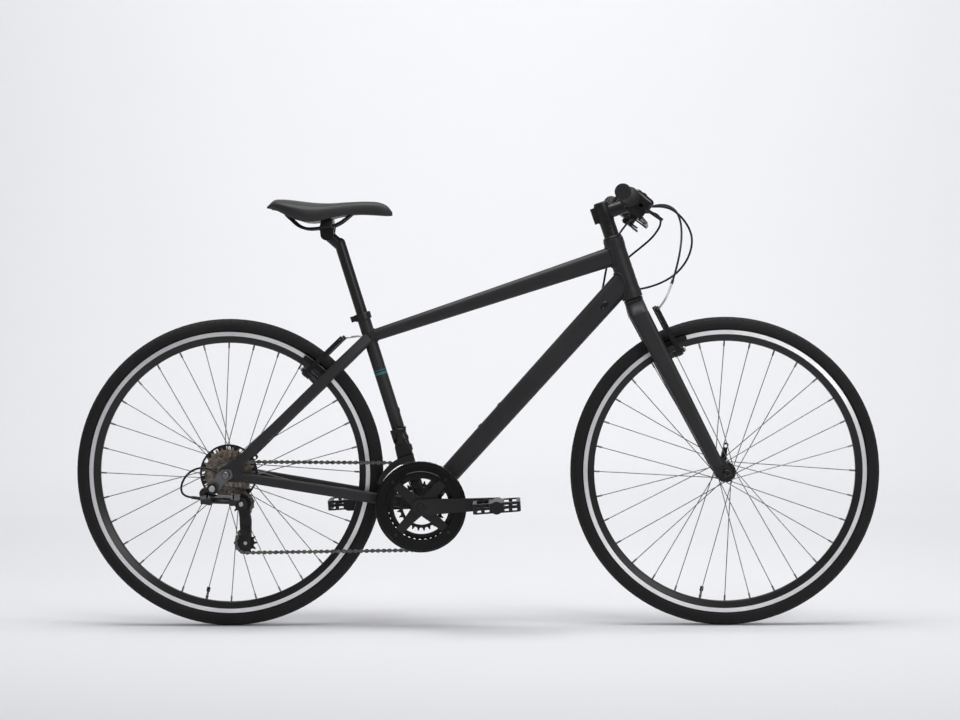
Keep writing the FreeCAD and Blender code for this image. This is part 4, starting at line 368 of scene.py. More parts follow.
def add_group(tree, group, **values):
    item = tree.nodes.new("ShaderNodeGroup")
    item.node_tree = group
    for label, value in values.items():
        feed(tree, value, item.inputs[label.replace("_", " ")])
    return item.outputs


def band(tree, value, low, high, blur):
    """Mask that is 1 between low and high."""
    return add_group(tree, band_group, Value=value, Low=low, High=high, Blur=blur)["Mask"]


def ramp(tree, factor, low_colour, high_colour):
    item = tree.nodes.new("ShaderNodeValToRGB")
    low, high = item.color_ramp.elements
    low.position, high.position = CLOUD_LOW, CLOUD_HIGH
    low.color, high.color = (*low_colour, 1), (*high_colour, 1)
    tree.links.new(factor, item.inputs[0])
    return item.outputs[0]


def mix_colour(tree, factor, first, second):
    item = tree.nodes.new("ShaderNodeMix")
    item.data_type = "RGBA"
    tree.links.new(factor, item.inputs[0])
    for value, socket in ((first, item.inputs[6]), (second, item.inputs[7])):
        feed(tree, (*value, 1) if isinstance(value, tuple) else value, socket)
    return item.outputs[2]


def blend_value(tree, factor, first, second):
    """Number that goes from first to second as the factor goes from 0 to 1."""
    item = tree.nodes.new("ShaderNodeMapRange")
    item.inputs["To Min"].default_value = first
    item.inputs["To Max"].default_value = second
    tree.links.new(factor, item.inputs["Value"])
    return item.outputs[0]


# %% A finish with grain
class Finish:
    """A material with its principled shader, a grain and a cloud, open to further nodes."""

    def __init__(self, name, dark, light, rough, grain_scale, grain_depth, metal=0.0, cloud_scale=14.0,
                 shine=0.3):
        self.material = bpy.data.materials.new(name)
        self.material.use_nodes = True
        self.tree = self.material.node_tree
        self.shader = self.tree.nodes["Principled BSDF"]
        self.shader.inputs["Metallic"].default_value = metal
        self.shader.inputs["Specular IOR Level"].default_value = shine if metal == 0 else METAL_SHINE
        self.grain, self.cloud = add_group(self.tree, grain_group, Scale=grain_scale,
                                           Cloud_Scale=cloud_scale)
        self.recolour(ramp(self.tree, self.cloud, dark, light))
        self.reroughen(blend_value(self.tree, self.cloud, *rough))
        self.bump = self.tree.nodes.new("ShaderNodeBump")
        self.set_bump(GRAIN_STRENGTH, grain_depth)
        self.raise_by(self.grain)
        self.tree.links.new(self.bump.outputs[0], self.shader.inputs["Normal"])

    def recolour(self, socket):
        self.colour = socket
        self.tree.links.new(socket, self.shader.inputs["Base Color"])

    def reroughen(self, socket):
        self.tree.links.new(socket, self.shader.inputs["Roughness"])

    def raise_by(self, height):
        """Sets the relief under the bump."""
        self.tree.links.new(height, self.bump.inputs["Height"])

    def set_bump(self, strength, distance):
        self.bump.inputs["Strength"].default_value = strength
        self.bump.inputs["Distance"].default_value = distance


# %% Paint, alloy and plastic
PAINT = ((0.0170, 0.0160, 0.0172), (0.0225, 0.0212, 0.0228), (0.40, 0.50), 1400, 0.00025)
HOUSING = ((0.006, 0.006, 0.006), (0.010, 0.010, 0.010), (0.30, 0.42), 1500, 0.00008)
GLOSS = ((0.0035, 0.0035, 0.0035), (0.0060, 0.0060, 0.0060))
powder_coat = Finish("powder_coat", *PAINT)
black_alloy = Finish("black_alloy", (0.0105, 0.0100, 0.0105), (0.0160, 0.0153, 0.0160), (0.26, 0.38),
                     1900, 0.0001)
gloss_black = Finish("gloss_black", *GLOSS, (0.10, 0.20), 1500, 0.00005, shine=0.5)
moulded_plastic = Finish("moulded_plastic", (0.0060, 0.0060, 0.0063), (0.0100, 0.0100, 0.0105),
                         (0.34, 0.48), 1200, 0.0002)
silver_alloy = Finish("silver_alloy", (0.50, 0.50, 0.51), (0.64, 0.64, 0.65), (0.22, 0.36),
                      2200, 0.00006, metal=1.0)
spoke_steel = Finish("spoke_steel", (0.15, 0.15, 0.155), (0.25, 0.25, 0.255), (0.22, 0.34),
                     2600, 0.00004, metal=1.0)
chain_steel = Finish("chain_steel", (0.060, 0.056, 0.051), (0.21, 0.20, 0.185), (0.26, 0.46),
                     1500, 0.0001, metal=1.0, cloud_scale=160.0)
sprocket_steel = Finish("sprocket_steel", (0.12, 0.10, 0.085), (0.46, 0.39, 0.33), (0.24, 0.42),
                        1700, 0.0001, metal=1.0, cloud_scale=90.0)
dark_steel = Finish("dark_steel", (0.008, 0.008, 0.008), (0.022, 0.022, 0.021), (0.22, 0.38),
                    1700, 0.0001, metal=0.6, cloud_scale=60.0)
housing_black = Finish("housing_black", *HOUSING)
grip_rubber = Finish("grip_rubber", (0.016, 0.016, 0.0165), (0.024, 0.024, 0.0245), (0.62, 0.78),
                     1000, 0.0003, shine=0.25)
print("materials", len(bpy.data.materials))

# %% [markdown]
# ## Tyre rubber
# A hybrid tyre has a shallow centre tread of small slanted blocks, and sidewalls with fine moulded rings.
# Both are too shallow to show in the outline, so they are a relief: the wheel's angle is cut into even
# steps, slanted by the distance from the middle, and only raised near the crown. The larger blocks on the
# shoulders are modelled further down.

# %% Tyres
TREAD_STEPS, TREAD_SLANT = 190, 160.0
CROWN_FROM, CROWN_TO = 0.3375, 0.36
RIB_FROM, RIB_TO = 0.0035, 0.02
BLOCK_FROM, BLOCK_TO, BLOCK_BLUR = 0.08, 0.92, 0.10
WALL_RINGS, WALL_SHARE, GRAIN_SHARE = 4200.0, 0.10, 0.12
TREAD_BUMP, TREAD_DEPTH = 0.8, 0.0009
TREAD_COLOUR = (0.019, 0.0187, 0.019)


def tyre_finish(name, axle):
    finish = Finish(name, (0.0095, 0.0093, 0.0096), (0.0145, 0.0142, 0.0146), (0.62, 0.80),
                    700, TREAD_DEPTH, shine=0.2)
    tree = finish.tree
    radius, angle, across = add_group(tree, polar_group, Axle=tuple(axle))
    across = math_node(tree, "ABSOLUTE", across)
    steps = times(tree, angle, TREAD_STEPS / (2 * math.pi))
    block = math_node(tree, "FRACT", plus(tree, steps, times(tree, across, TREAD_SLANT)))
    raised = band(tree, block, BLOCK_FROM, BLOCK_TO, BLOCK_BLUR)
    crown = band(tree, radius, CROWN_FROM, CROWN_TO, 0.0015)
    rib = band(tree, across, RIB_FROM, RIB_TO, 0.0008)
    tread = times(tree, times(tree, raised, rib), crown)
    rings = math_node(tree, "SINE", times(tree, radius, WALL_RINGS))
    wall = times(tree, rings, minus(tree, 1.0, crown))
    relief = plus(tree, tread, times(tree, wall, WALL_SHARE))
    finish.raise_by(plus(tree, relief, times(tree, finish.grain, GRAIN_SHARE)))
    finish.set_bump(TREAD_BUMP, TREAD_DEPTH)
    finish.recolour(mix_colour(tree, tread, finish.colour, TREAD_COLOUR))
    return finish


front_tyre_rubber = tyre_finish("front_tyre_rubber", FRONT_AXLE)
rear_tyre_rubber = tyre_finish("rear_tyre_rubber", REAR_AXLE)
print("tread steps", TREAD_STEPS, "round each tyre")

# %% [markdown]
# ## Rims with a machined brake track
# The rims are anodised black and then turned bright where the pads run, a band of about ten millimetres
# below the tyre. The wheel's radius picks the band out, and fine rings in the bump give it the look of a
# lathe cut.

# %% Rims
TRACK_FROM, TRACK_TO = 0.3072, 0.3168
FLANK_FROM, FLANK_TO = 0.0112, 0.03
LATHE_RINGS, LATHE_DEPTH = 14000.0, 0.0001


def rim_finish(name, axle):
    finish = Finish(name, (0.0105, 0.0100, 0.0108), (0.0160, 0.0153, 0.0163), (0.24, 0.36), 1800, 0.00008)
    tree = finish.tree
    polar = add_group(tree, polar_group, Axle=tuple(axle))
    radius = polar["Radius"]
    track = band(tree, radius, TRACK_FROM, TRACK_TO, 0.0004)
    flank = band(tree, math_node(tree, "ABSOLUTE", polar["Across"]), FLANK_FROM, FLANK_TO, 0.0003)
    mask = times(tree, track, flank)
    rings = math_node(tree, "SINE", times(tree, radius, LATHE_RINGS))
    bright = ramp(tree, finish.cloud, (0.80, 0.80, 0.81), (0.92, 0.92, 0.93))
    finish.recolour(mix_colour(tree, mask, finish.colour, bright))
    tree.links.new(mask, finish.shader.inputs["Metallic"])
    finish.reroughen(blend_value(tree, mask, 0.28, 0.36))
    finish.raise_by(times(tree, rings, mask))
    finish.set_bump(GRAIN_STRENGTH, LATHE_DEPTH)
    return finish


front_rim_alloy = rim_finish("front_rim_alloy", FRONT_AXLE)
rear_rim_alloy = rim_finish("rear_rim_alloy", REAR_AXLE)
print("brake track", round((TRACK_TO - TRACK_FROM) * 1000, 1), "mm wide")

# %% [markdown]
# ## Two plain bands on the seat tube
# The frame carries one wide and one narrow teal band on the seat tube. They are painted, so they belong
# in the tube's own paint: the distance along the tube picks them out.

# %% Seat tube paint
WIDE_BAND, NARROW_BAND = (0.3060, 0.3120), (0.3155, 0.3175)
TEAL = (0.030, 0.135, 0.150)
banded_paint = Finish("banded_paint", *PAINT)
tree = banded_paint.tree
from_bracket = vector_node(tree, "SUBTRACT", object_spot(tree), BRACKET)["Vector"]
height = vector_node(tree, "DOT_PRODUCT", from_bracket, SEAT_UP)["Value"]
wide = band(tree, height, *WIDE_BAND, 0.0002)
narrow = band(tree, height, *NARROW_BAND, 0.0002)
bands = math_node(tree, "MAXIMUM", wide, narrow)
banded_paint.recolour(mix_colour(tree, bands, banded_paint.colour, TEAL))
print("bands at", WIDE_BAND, "and", NARROW_BAND, "m along the seat tube")

# %% [markdown]
# ## Brake arms and grips
# A brake arm is black alloy, but its pad is rubber. Both are one CAD node, so the material tells them
# apart by how near the wheel's middle plane they are. The grips get shallow ribs along their length.

# %% Brake arms
PAD_TO, PAD_RUBBER = 0.0253, (0.010, 0.010, 0.010)
brake_arm_black = Finish("brake_arm_black", (0.0050, 0.0050, 0.0050), (0.0090, 0.0090, 0.0090),
                         (0.22, 0.34), 1900, 0.0001)
tree = brake_arm_black.tree
pad = band(tree, math_node(tree, "ABSOLUTE", object_axis(tree, "Y")), 0.0, PAD_TO, 0.0003)
brake_arm_black.recolour(mix_colour(tree, pad, brake_arm_black.colour, PAD_RUBBER))
brake_arm_black.reroughen(blend_value(tree, pad, 0.32, 0.78))
print("rubber within", PAD_TO, "m of the wheel's middle")

# %% Grips
RIB_STEP, RIB_DEPTH = 0.006, 0.0006
tree = grip_rubber.tree
ribs = math_node(tree, "SINE", times(tree, object_axis(tree, "Y"), 2 * math.pi / RIB_STEP))
grip_rubber.raise_by(plus(tree, times(tree, ribs, 0.5), times(tree, grip_rubber.grain, 0.4)))
grip_rubber.set_bump(GRAIN_STRENGTH, RIB_DEPTH)
print("materials", [material.name for material in bpy.data.materials])

# %% [markdown]
# ## The chain guard
# The round guard outside the large ring is moulded in glossy black, with raised steps that run round it.
# The steps are a relief over the distance from the crank's axis, so they stay round when the crank turns.

# %% Guard
OUTER_STEP, INNER_STEP = (0.0935, 0.12), (0.0, 0.0800)
STEP_BLUR, STEP_DEPTH = 0.0012, 0.0012
guard_black = Finish("guard_black", *GLOSS, (0.12, 0.22), 1500, STEP_DEPTH, shine=0.2)
tree = guard_black.tree
radius = add_group(tree, polar_group, Axle=tuple(BRACKET))["Radius"]
outer_step = band(tree, radius, *OUTER_STEP, STEP_BLUR)
inner_step = band(tree, radius, *INNER_STEP, STEP_BLUR)
guard_black.raise_by(plus(tree, outer_step, inner_step))
guard_black.set_bump(1.0, STEP_DEPTH)
print("guard steps at", INNER_STEP[1], "and", OUTER_STEP[0], "m")

# %% [markdown]
# ## Dressing the CAD nodes
# Every node that stays visible takes one of these finishes. The nodes that are redrawn below are left
# out.

# %% Finishes by node
DRESS = {
    powder_coat: ["head_tube", "top_tube", "down_tube", "chain_stays", "seat_stays", "fork"],
    banded_paint: ["seat_tube"],
    black_alloy: ["seat_clamp", "headset_spacers", "stem", "handlebar", "seatpost", "crank_arm_left",
                  "crank_arm_right", "rear_hub", "rear_qr_lever", "brake_lever_left", "brake_lever_right",
                  "rd_knuckle", "rd_inner_link", "rd_p_knuckle", "fd_link", "front_derailleur_body"],
    gloss_black: ["front_hub", "front_qr_lever", "rd_outer_link", "front_axle"],
    guard_black: ["chain_guard"],
    brake_arm_black: ["front_brake_arm_left", "front_brake_arm_right", "rear_brake_arm_left",
                      "rear_brake_arm_right"],
    moulded_plastic: ["control_bodies", "thumb_lever_left", "thumb_lever_right", "release_lever_left",
                      "release_lever_right", "pedal_left", "pedal_right", "guide_pulley", "tension_pulley"],
    grip_rubber: ["grips"],
    front_tyre_rubber: ["front_tyre"],
    rear_tyre_rubber: ["rear_tyre"],
    front_rim_alloy: ["front_rim"],
    rear_rim_alloy: ["rear_rim"],
    spoke_steel: ["front_spokes", "rear_spokes", "rear_axle"],
    sprocket_steel: ["sprockets"],
    dark_steel: ["chainrings", "bottom_bracket_unit", "rd_cage", "saddle_rails"],
}


def wear(piece, finish):
    piece.data.materials.clear()
    piece.data.materials.append(finish.material)
    return piece


for finish, names in DRESS.items():
    for name in names:
        wear(frame["nodes"][name], finish)
print("dressed", sum(len(names) for names in DRESS.values()), "nodes")

# %% [markdown]
# ## Cables
# A brake or shift cable is a springy housing that leaves its lever straight, swings forward in a wide bow
# and enters the frame or a brake. Each is one NURBS line that is led by the points of its route, and a
# round tube along it.

# %% Lines and cords
HOUSING_RADIUS = 0.0024
WIRE_RADIUS = 0.0009
CORD_STEPS, CORD_ROUNDING = 10, 4


def curve_piece(name, spots, kind, steps):
    """Curve object with one line led by the spots; gives the object and its line."""
    data = bpy.data.curves.new(name, "CURVE")
    data.dimensions = "3D"
    data.resolution_u = steps
    line = data.splines.new(kind)
    line.points.add(len(spots) - 1)
    for point, spot in zip(line.points, spots):
        point.co = (*spot, 1)
    piece = bpy.data.objects.new(name, data)
    bpy.context.scene.collection.objects.link(piece)
    return piece, line


def tube_along(piece, radius, steps):
    """Turns a curve into a round tube."""
    piece.data.bevel_depth = radius
    piece.data.bevel_resolution = steps
    select_only(piece)
    bpy.ops.object.convert(target="MESH")
    return bpy.context.object


def lay_cord(name, route, radius, finish):
    """Smooth tube along the NURBS line of a route; gives the piece and the points of its line."""
    piece, line = curve_piece(name, route, "NURBS", CORD_STEPS)
    line.order_u = 3
    line.use_endpoint_u = True
    bare = bpy.data.meshes.new_from_object(piece)
    path = [vertex.co.copy() for vertex in bare.vertices]
    bpy.data.meshes.remove(bare)
    piece.data.use_fill_caps = True
    return wear(smooth(tube_along(piece, radius, CORD_ROUNDING), 40), finish), path


# %% Housing that ends in a bright noodle
NOODLE_TOP, NOODLE_COLOUR = 0.772, (0.58, 0.58, 0.59)
housing_to_noodle = Finish("housing_to_noodle", *HOUSING)
tree = housing_to_noodle.tree
bare = band(tree, object_axis(tree, "Z"), 0.0, NOODLE_TOP, 0.0003)
housing_to_noodle.recolour(mix_colour(tree, bare, housing_to_noodle.colour, NOODLE_COLOUR))
tree.links.new(bare, housing_to_noodle.shader.inputs["Metallic"])
print("noodle from", NOODLE_TOP, "m down")

# %% Front brake cable
front_housing, path = lay_cord("front_brake_housing", [
    (0.36661, 0.13488, 0.93343),
    (0.36876, 0.12107, 0.93275),
    (0.37890, 0.10725, 0.93607),
    (0.418, 0.072, 0.948),
    (0.447, 0.040, 0.938),
    (0.460, 0.024, 0.911),
    (0.462, 0.008, 0.878),
    (0.457, -0.016, 0.842),
    (0.447, -0.038, 0.802),
    (0.434, -0.056, 0.764),
    (0.420, -0.070, 0.731),
    FRONT_WIRE + RIGHT * 0.062,
    FRONT_WIRE + RIGHT * 0.028,
], HOUSING_RADIUS, housing_to_noodle)
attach(front_housing, "steer")
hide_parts("front_brake_cable")
FERRULE = [(0.0026, -0.006), (0.0034, -0.0055), (0.0034, 0.004), (0.0030, 0.005), (0.0026, 0.0052)]
joint = min(range(1, len(path)), key=lambda index: abs(path[index].z - NOODLE_TOP))
ferrule = smooth(ring_stack("noodle_ferrule", FERRULE, 20), 40)
place(ferrule, frame_matrix(path[joint], path[joint - 1] - path[joint]))
wear(ferrule, gloss_black)
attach(ferrule, "steer")

# %% Rear brake and shift cables, which cross the headset
CROSSING_CORDS = {
    "rear_brake_housing": [
        (0.36661, -0.13488, 0.93343),
        (0.36876, -0.12107, 0.93275),
        (0.37890, -0.10725, 0.93507),
        (0.426, -0.076, 0.936),
        (0.458, -0.052, 0.914),
        (0.480, -0.030, 0.882),
        (0.484, -0.010, 0.852),
        (0.474, 0.010, 0.818),
        (0.450, 0.028, 0.787),
        (0.414, 0.040, 0.766),
        (0.372, 0.046, 0.754),
        (0.334, 0.042, 0.752),
        (0.30628, 0.0236, 0.74531),
    ],
    "rear_shift_housing": [
        (0.35351, -0.14147, 0.92273),
        (0.35534, -0.12963, 0.92215),
        (0.36149, -0.11581, 0.92247),
        (0.402, -0.084, 0.922),
        (0.414, -0.052, 0.900),
        (0.396, -0.014, 0.870),
        (0.368, 0.018, 0.846),
        (0.338, 0.038, 0.822),
        (0.314, 0.044, 0.788),
        (0.300, 0.038, 0.754),
        (0.28812, 0.0236, 0.72533),
    ],
    "front_shift_housing": [
        (0.35351, 0.14147, 0.92273),
        (0.35534, 0.12963, 0.92215),
        (0.35749, 0.11581, 0.91947),
        (0.332, 0.074, 0.892),
        (0.306, 0.056, 0.852),
        (0.294, 0.050, 0.802),
        (0.286, 0.046, 0.756),
        (0.276, 0.036, 0.728),
        (0.26929, 0.0236, 0.70461),
    ],
}
for name, route in CROSSING_CORDS.items():
    piece, path = lay_cord(name, route, HOUSING_RADIUS, housing_black)
    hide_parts("frame_cables")
    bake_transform(piece)

# %% Noodle and shift wire on the frame
FRAME_CORDS = {
    "rear_noodle": ([
        (-0.256, 0.025, 0.648),
        (-0.264, 0.064, 0.651),
        (-0.288, 0.084, 0.648),
        REAR_WIRE + LEFT * 0.066,
        REAR_WIRE + LEFT * 0.028,
    ], HOUSING_RADIUS),
    "front_shift_wire": ([
        (-0.14043, -0.0153, 0.29276),
        (-0.17586, -0.0153, 0.40720),
    ], WIRE_RADIUS),
}
for name, (route, radius) in FRAME_CORDS.items():
    piece, path = lay_cord(name, route, radius, silver_alloy)
    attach(piece, "frame")
    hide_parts("frame_cables")

# %% Derailleur loop, which crosses the hanger's pivot
BARREL_WAY = Vector((-22, 0, 3)).normalized()
LOOP_END = Vector((-0.63096, -0.08484, 0.2977)) + BARREL_WAY * 0.0003
LOOP_FREE = (-0.600, -0.074, 0.365)
derailleur_loop, path = lay_cord("derailleur_loop", [
    (-0.575, -0.0705, 0.352),
    LOOP_FREE,
    (-0.632, -0.079, 0.358),
    (-0.652, -0.083, 0.334),
    (-0.655, -0.084, 0.310),
    LOOP_END + BARREL_WAY * 0.012,
    LOOP_END,
], HOUSING_RADIUS, housing_black)
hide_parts("frame_cables")
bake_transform(derailleur_loop)

# %% Bare wires between the brake arms
WIRE_STEPS = (-0.026, -0.010, 0.010, 0.030, 0.044, 0.054)
for name, middle, way, body, arm, node in (
    ("front_brake_wire", FRONT_WIRE, LEFT, "steer", "front_left_brake", "front_brake_cable"),
    ("rear_brake_wire", REAR_WIRE, RIGHT, "frame", "rear_right_brake", "frame_cables"),
):
    route = [middle + way * step for step in WIRE_STEPS]
    piece, path = lay_cord(name, route, WIRE_RADIUS, silver_alloy)
    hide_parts(node)
    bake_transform(piece)

# %% [markdown]
# ## Rubber boots
# Between the two brake arms, a pleated boot keeps dirt off the wire. It is a turned piece: ring after
# ring, in and out, round the wire.

# %% Boots
BOOT = [(0.0030, 0.0), (0.0052, 0.0006), (0.0054, 0.004), (0.0040, 0.0055), (0.0053, 0.0075),
        (0.0039, 0.0095), (0.0051, 0.0115), (0.0037, 0.0135), (0.0048, 0.0155), (0.0035, 0.018),
        (0.0042, 0.020), (0.0030, 0.028), (0.0022, 0.034), (0.0012, 0.0345)]
BOOT_FROM = 0.026
front_boot = smooth(ring_stack("front_boot", BOOT), 60)
rear_boot = copy_of(front_boot, "rear_boot")
for piece, start, way, body, node in (
    (front_boot, FRONT_WIRE, LEFT, "steer", "front_brake_cable"),
    (rear_boot, REAR_WIRE, RIGHT, "frame", "frame_cables"),
):
    place(piece, frame_matrix(start - way * BOOT_FROM, way))
    wear(piece, grip_rubber)
    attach(piece, body)
    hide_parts(node)
print("boot", round(BOOT[-1][1] * 1000), "mm long")

# %% [markdown]
# ## The saddle
# A sport saddle is a foam pad under a thin synthetic cover: broad and lifted at the tail, dished in the
# middle, round and slim at the nose, with wings that droop at the sides. A grid is the right start,
# because its rows become sections from tail to nose and its columns run from one lower edge over the
# crown to the other.

# %% Sections from tail to nose
SADDLE_TAIL, SADDLE_LENGTH, SADDLE_TOP, SADDLE_HALF = -0.463, 0.276, 0.9595, 0.082
SHARES = (0.0, 0.05, 0.10, 0.20, 0.30, 0.41, 0.52, 0.62, 0.72, 0.82, 0.90, 0.96, 1.0)
WIDTHS = (0.55, 0.74, 0.86, 0.97, 1.0, 0.88, 0.66, 0.48, 0.37, 0.30, 0.27, 0.23, 0.12)
FALLS = (16, 2.5, 0.5, 2.5, 6, 9, 9.3, 7.5, 6.2, 6, 8.5, 16, 29)
DEPTHS = (6, 22, 29, 41, 46, 42, 34, 30.5, 29, 30, 29, 22.5, 9)
WAIST_SHARE, SKIRT_FROM, SKIRT_DRAW = 0.42, 0.8, 0.10
SIDE_ROUND, TOP_ROUND = 0.85, 0.8
SEAM_AT, SEAM_WIDTH, SEAM_DEPTH = 0.62, 0.012, 0.0009
GROOVE_WIDTH, GROOVE_DEPTH, GROOVE_AT, GROOVE_REACH = 0.035, 0.0022, 0.42, 0.3


def along(values, share):
    """Smooth value between the stations."""
    last = len(SHARES) - 1
    index = min(max(sum(1 for stop in SHARES if stop <= share) - 1, 0), last - 1)
    slopes = []
    for near in (index, index + 1):
        low, high = max(near - 1, 0), min(near + 1, last)
        slopes.append((values[high] - values[low]) / (SHARES[high] - SHARES[low]))
    span = SHARES[index + 1] - SHARES[index]
    t = (share - SHARES[index]) / span
    return ((2 * t ** 3 - 3 * t ** 2 + 1) * values[index] + (t ** 3 - 2 * t ** 2 + t) * span * slopes[0]
            + (3 * t ** 2 - 2 * t ** 3) * values[index + 1] + (t ** 3 - t ** 2) * span * slopes[1])


def saddle_point(share, across):
    """Point of the cover: across goes from -1 at one lower edge to 1 at the other."""
    half = SADDLE_HALF * along(WIDTHS, share)
    top = SADDLE_TOP - along(FALLS, share) / 1000
    low = top - along(DEPTHS, share) / 1000
    waist = low + (top - low) * WAIST_SHARE
    side = math.copysign(1, across)
    amount = abs(across)
    if amount < SKIRT_FROM:
        angle = amount / SKIRT_FROM * math.pi / 2
        y = half * math.sin(angle) ** SIDE_ROUND
        z = waist + (top - waist) * math.cos(angle) ** TOP_ROUND
    else:
        down = (amount - SKIRT_FROM) / (1 - SKIRT_FROM)
        y = half * (1 - SKIRT_DRAW * down ** 2)
        z = waist + (low - waist) * down
    seam = math.exp(-((amount - SEAM_AT) / SEAM_WIDTH) ** 2) * SEAM_DEPTH
    reach = max(0.0, 1 - ((share - GROOVE_AT) / GROOVE_REACH) ** 2)
    groove = math.exp(-(across / GROOVE_WIDTH) ** 2) * GROOVE_DEPTH * reach
    return Vector((SADDLE_TAIL + share * SADDLE_LENGTH, side * y, z - seam - groove))


print("saddle sections", len(SHARES))

# %% Cover
EVEN_SHARE, PAD_THICKNESS = 0.6, 0.0042
cover = start_from(bpy.ops.mesh.primitive_grid_add, "saddle_pad", size=2,
                   x_subdivisions=120, y_subdivisions=96)
for vertex in cover.data.vertices:
    ease = vertex.co.x * EVEN_SHARE + (1 - EVEN_SHARE) * math.sin(vertex.co.x * math.pi / 2)
    vertex.co = saddle_point(ease / 2 + 0.5, vertex.co.y)
bpy.ops.object.mode_set(mode="EDIT")
bpy.ops.mesh.select_all(action="SELECT")
bpy.ops.mesh.normals_make_consistent(inside=False)
bpy.ops.object.mode_set(mode="OBJECT")
modify(cover, "SOLIDIFY", thickness=PAD_THICKNESS, offset=-1)
smooth(cover, 60)
saddle_skin = Finish("saddle_skin", (0.017, 0.017, 0.0178), (0.024, 0.024, 0.0248), (0.44, 0.58),
                     1600, 0.0004)
saddle_skin.shader.inputs["Sheen Weight"].default_value = 0.06
wear(cover, saddle_skin)
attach(cover, "saddle")
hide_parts("saddle_cover")
print("saddle faces", len(cover.data.polygons))

# %% Base under the pad
SHELL_FROM, SHELL_SPAN, SHELL_WIDTH = 0.03, 0.93, 0.94
SHELL_LIFT, SHELL_CROWN, SHELL_THICKNESS = 0.0035, 0.004, 0.003
shell = start_from(bpy.ops.mesh.primitive_grid_add, "saddle_shell", size=2,
                   x_subdivisions=48, y_subdivisions=12)
for vertex in shell.data.vertices:
    edge = saddle_point(SHELL_FROM + SHELL_SPAN * (vertex.co.x / 2 + 0.5), 1.0)
    rise = SHELL_LIFT + SHELL_CROWN * (1 - vertex.co.y ** 2)
    vertex.co = (edge.x, edge.y * SHELL_WIDTH * vertex.co.y, edge.z + rise)
modify(shell, "SOLIDIFY", thickness=SHELL_THICKNESS)
smooth(shell, 50)
wear(shell, moulded_plastic)
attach(shell, "saddle")
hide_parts("saddle_base")
print("shell faces", len(shell.data.polygons))

# %% [markdown]
# ## Fasteners
# Small bolts are what makes a black brake or derailleur readable; the ones on the crank and the pads are
# black themselves. One socket-head bolt is turned, its hexagon is cut with a boolean, and every further
# bolt is a copy with a mesh of its own.

# %% One socket bolt
BOLT = [(0.0046, 0.0), (0.0050, 0.0004), (0.0050, 0.0026), (0.0046, 0.0032), (0.0030, 0.0032)]
bolt_head = ring_stack("bolt_head", BOLT, 24)
socket_tool = start_from(bpy.ops.mesh.primitive_cylinder_add, "socket_tool", vertices=6, radius=0.0024,
                         depth=0.004, location=(0, 0, 0.0035))
modify(bolt_head, "BOOLEAN", object=socket_tool, operation="DIFFERENCE")
bpy.data.objects.remove(socket_tool)
smooth(bolt_head, 30)
wear(bolt_head, silver_alloy)
print("bolt faces", len(bolt_head.data.polygons))

# %% Every bolt in its place
CRANK_ANGLE = math.radians(3)
STUD_SIDE, STUD_OUT, CRANK_SIDE = 0.041, 0.052, 0.0815
PAD_UP, PAD_OUT, PAD_SIDE = 0.024, 0.040, 0.052
RING_BOLT_RADIUS, RING_BOLT_SIDE = 0.083, 0.0688
BOLTS = []
for side, name in ((1, "left"), (-1, "right")):
    y = LEFT * side * STUD_SIDE
    for wheel, body, studs, out in (("front", "steer", FRONT_STUDS, BLADE_OUT),
                                    ("rear", "frame", REAR_STUDS, STAY_OUT)):
        BOLTS.append((f"{wheel}_pivot_bolt_{name}", body, studs + y + out * STUD_OUT, out, 1.2))
    BOLTS.append((f"crank_bolt_{name}", "crank", BRACKET + LEFT * side * CRANK_SIDE, LEFT * side, 1.7))
    for wheel, studs, up, out in (("front", FRONT_STUDS, BLADE_UP, BLADE_OUT),
                                  ("rear", REAR_STUDS, STAY_UP, STAY_OUT)):
        spot = studs + up * PAD_UP + out * PAD_OUT + LEFT * side * PAD_SIDE
        BOLTS.append((f"{wheel}_pad_nut_{name}", f"{wheel}_{name}_brake", spot, LEFT * side, 0.95))
for index in range(4):
    outward = spoke_way(CRANK_ANGLE + math.radians(45 + 90 * index))
    spot = BRACKET + outward * RING_BOLT_RADIUS + RIGHT * RING_BOLT_SIDE
    BOLTS.append((f"ring_bolt_{index}", "crank", spot, RIGHT, 0.9))
BOLTS.append(("guide_bolt", "cage", Vector((-0.521, -0.0846, 0.282)), RIGHT, 1.0))
BOLTS.append(("tension_bolt", "cage", Vector((-0.51465, -0.0644, 0.19323)), RIGHT, 0.8))
BOLTS.append(("hanger_bolt", "derailleur", Vector((-0.584, -0.0936, 0.317)), RIGHT, 1.4))
for name, body, spot, way, scale in BOLTS:
    piece = copy_of(bolt_head, name)
    place(piece, frame_matrix(spot, way) @ Matrix.Scale(scale, 4))
    if body == "crank" or "pad_nut" in name:
        wear(piece, gloss_black)
    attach(piece, body)
bpy.data.objects.remove(bolt_head)
print("bolts", len(BOLTS))

# %% [markdown]
# ## Valves
# Each wheel has a valve through the rim, with a black cap. It points at the hub, between two spokes.

# %% Valves
VALVE = [(0.0026, 0.0), (0.0026, 0.006), (0.0036, 0.0065), (0.0036, 0.0085), (0.0026, 0.009),
         (0.0026, 0.018), (0.0040, 0.0185), (0.0042, 0.027), (0.0036, 0.029), (0.0012, 0.0295)]
VALVE_WAY = spoke_way(math.radians(-101))
VALVE_RADIUS = 0.2935
front_valve = smooth(ring_stack("front_valve", VALVE, 20), 40)
rear_valve = copy_of(front_valve, "rear_valve")
for piece, axle, body in ((front_valve, FRONT_AXLE, "front_wheel"), (rear_valve, REAR_AXLE, "rear_wheel")):
    place(piece, frame_matrix(axle + VALVE_WAY * VALVE_RADIUS, -VALVE_WAY))
    wear(piece, gloss_black)
    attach(piece, body)
print("valves ready")

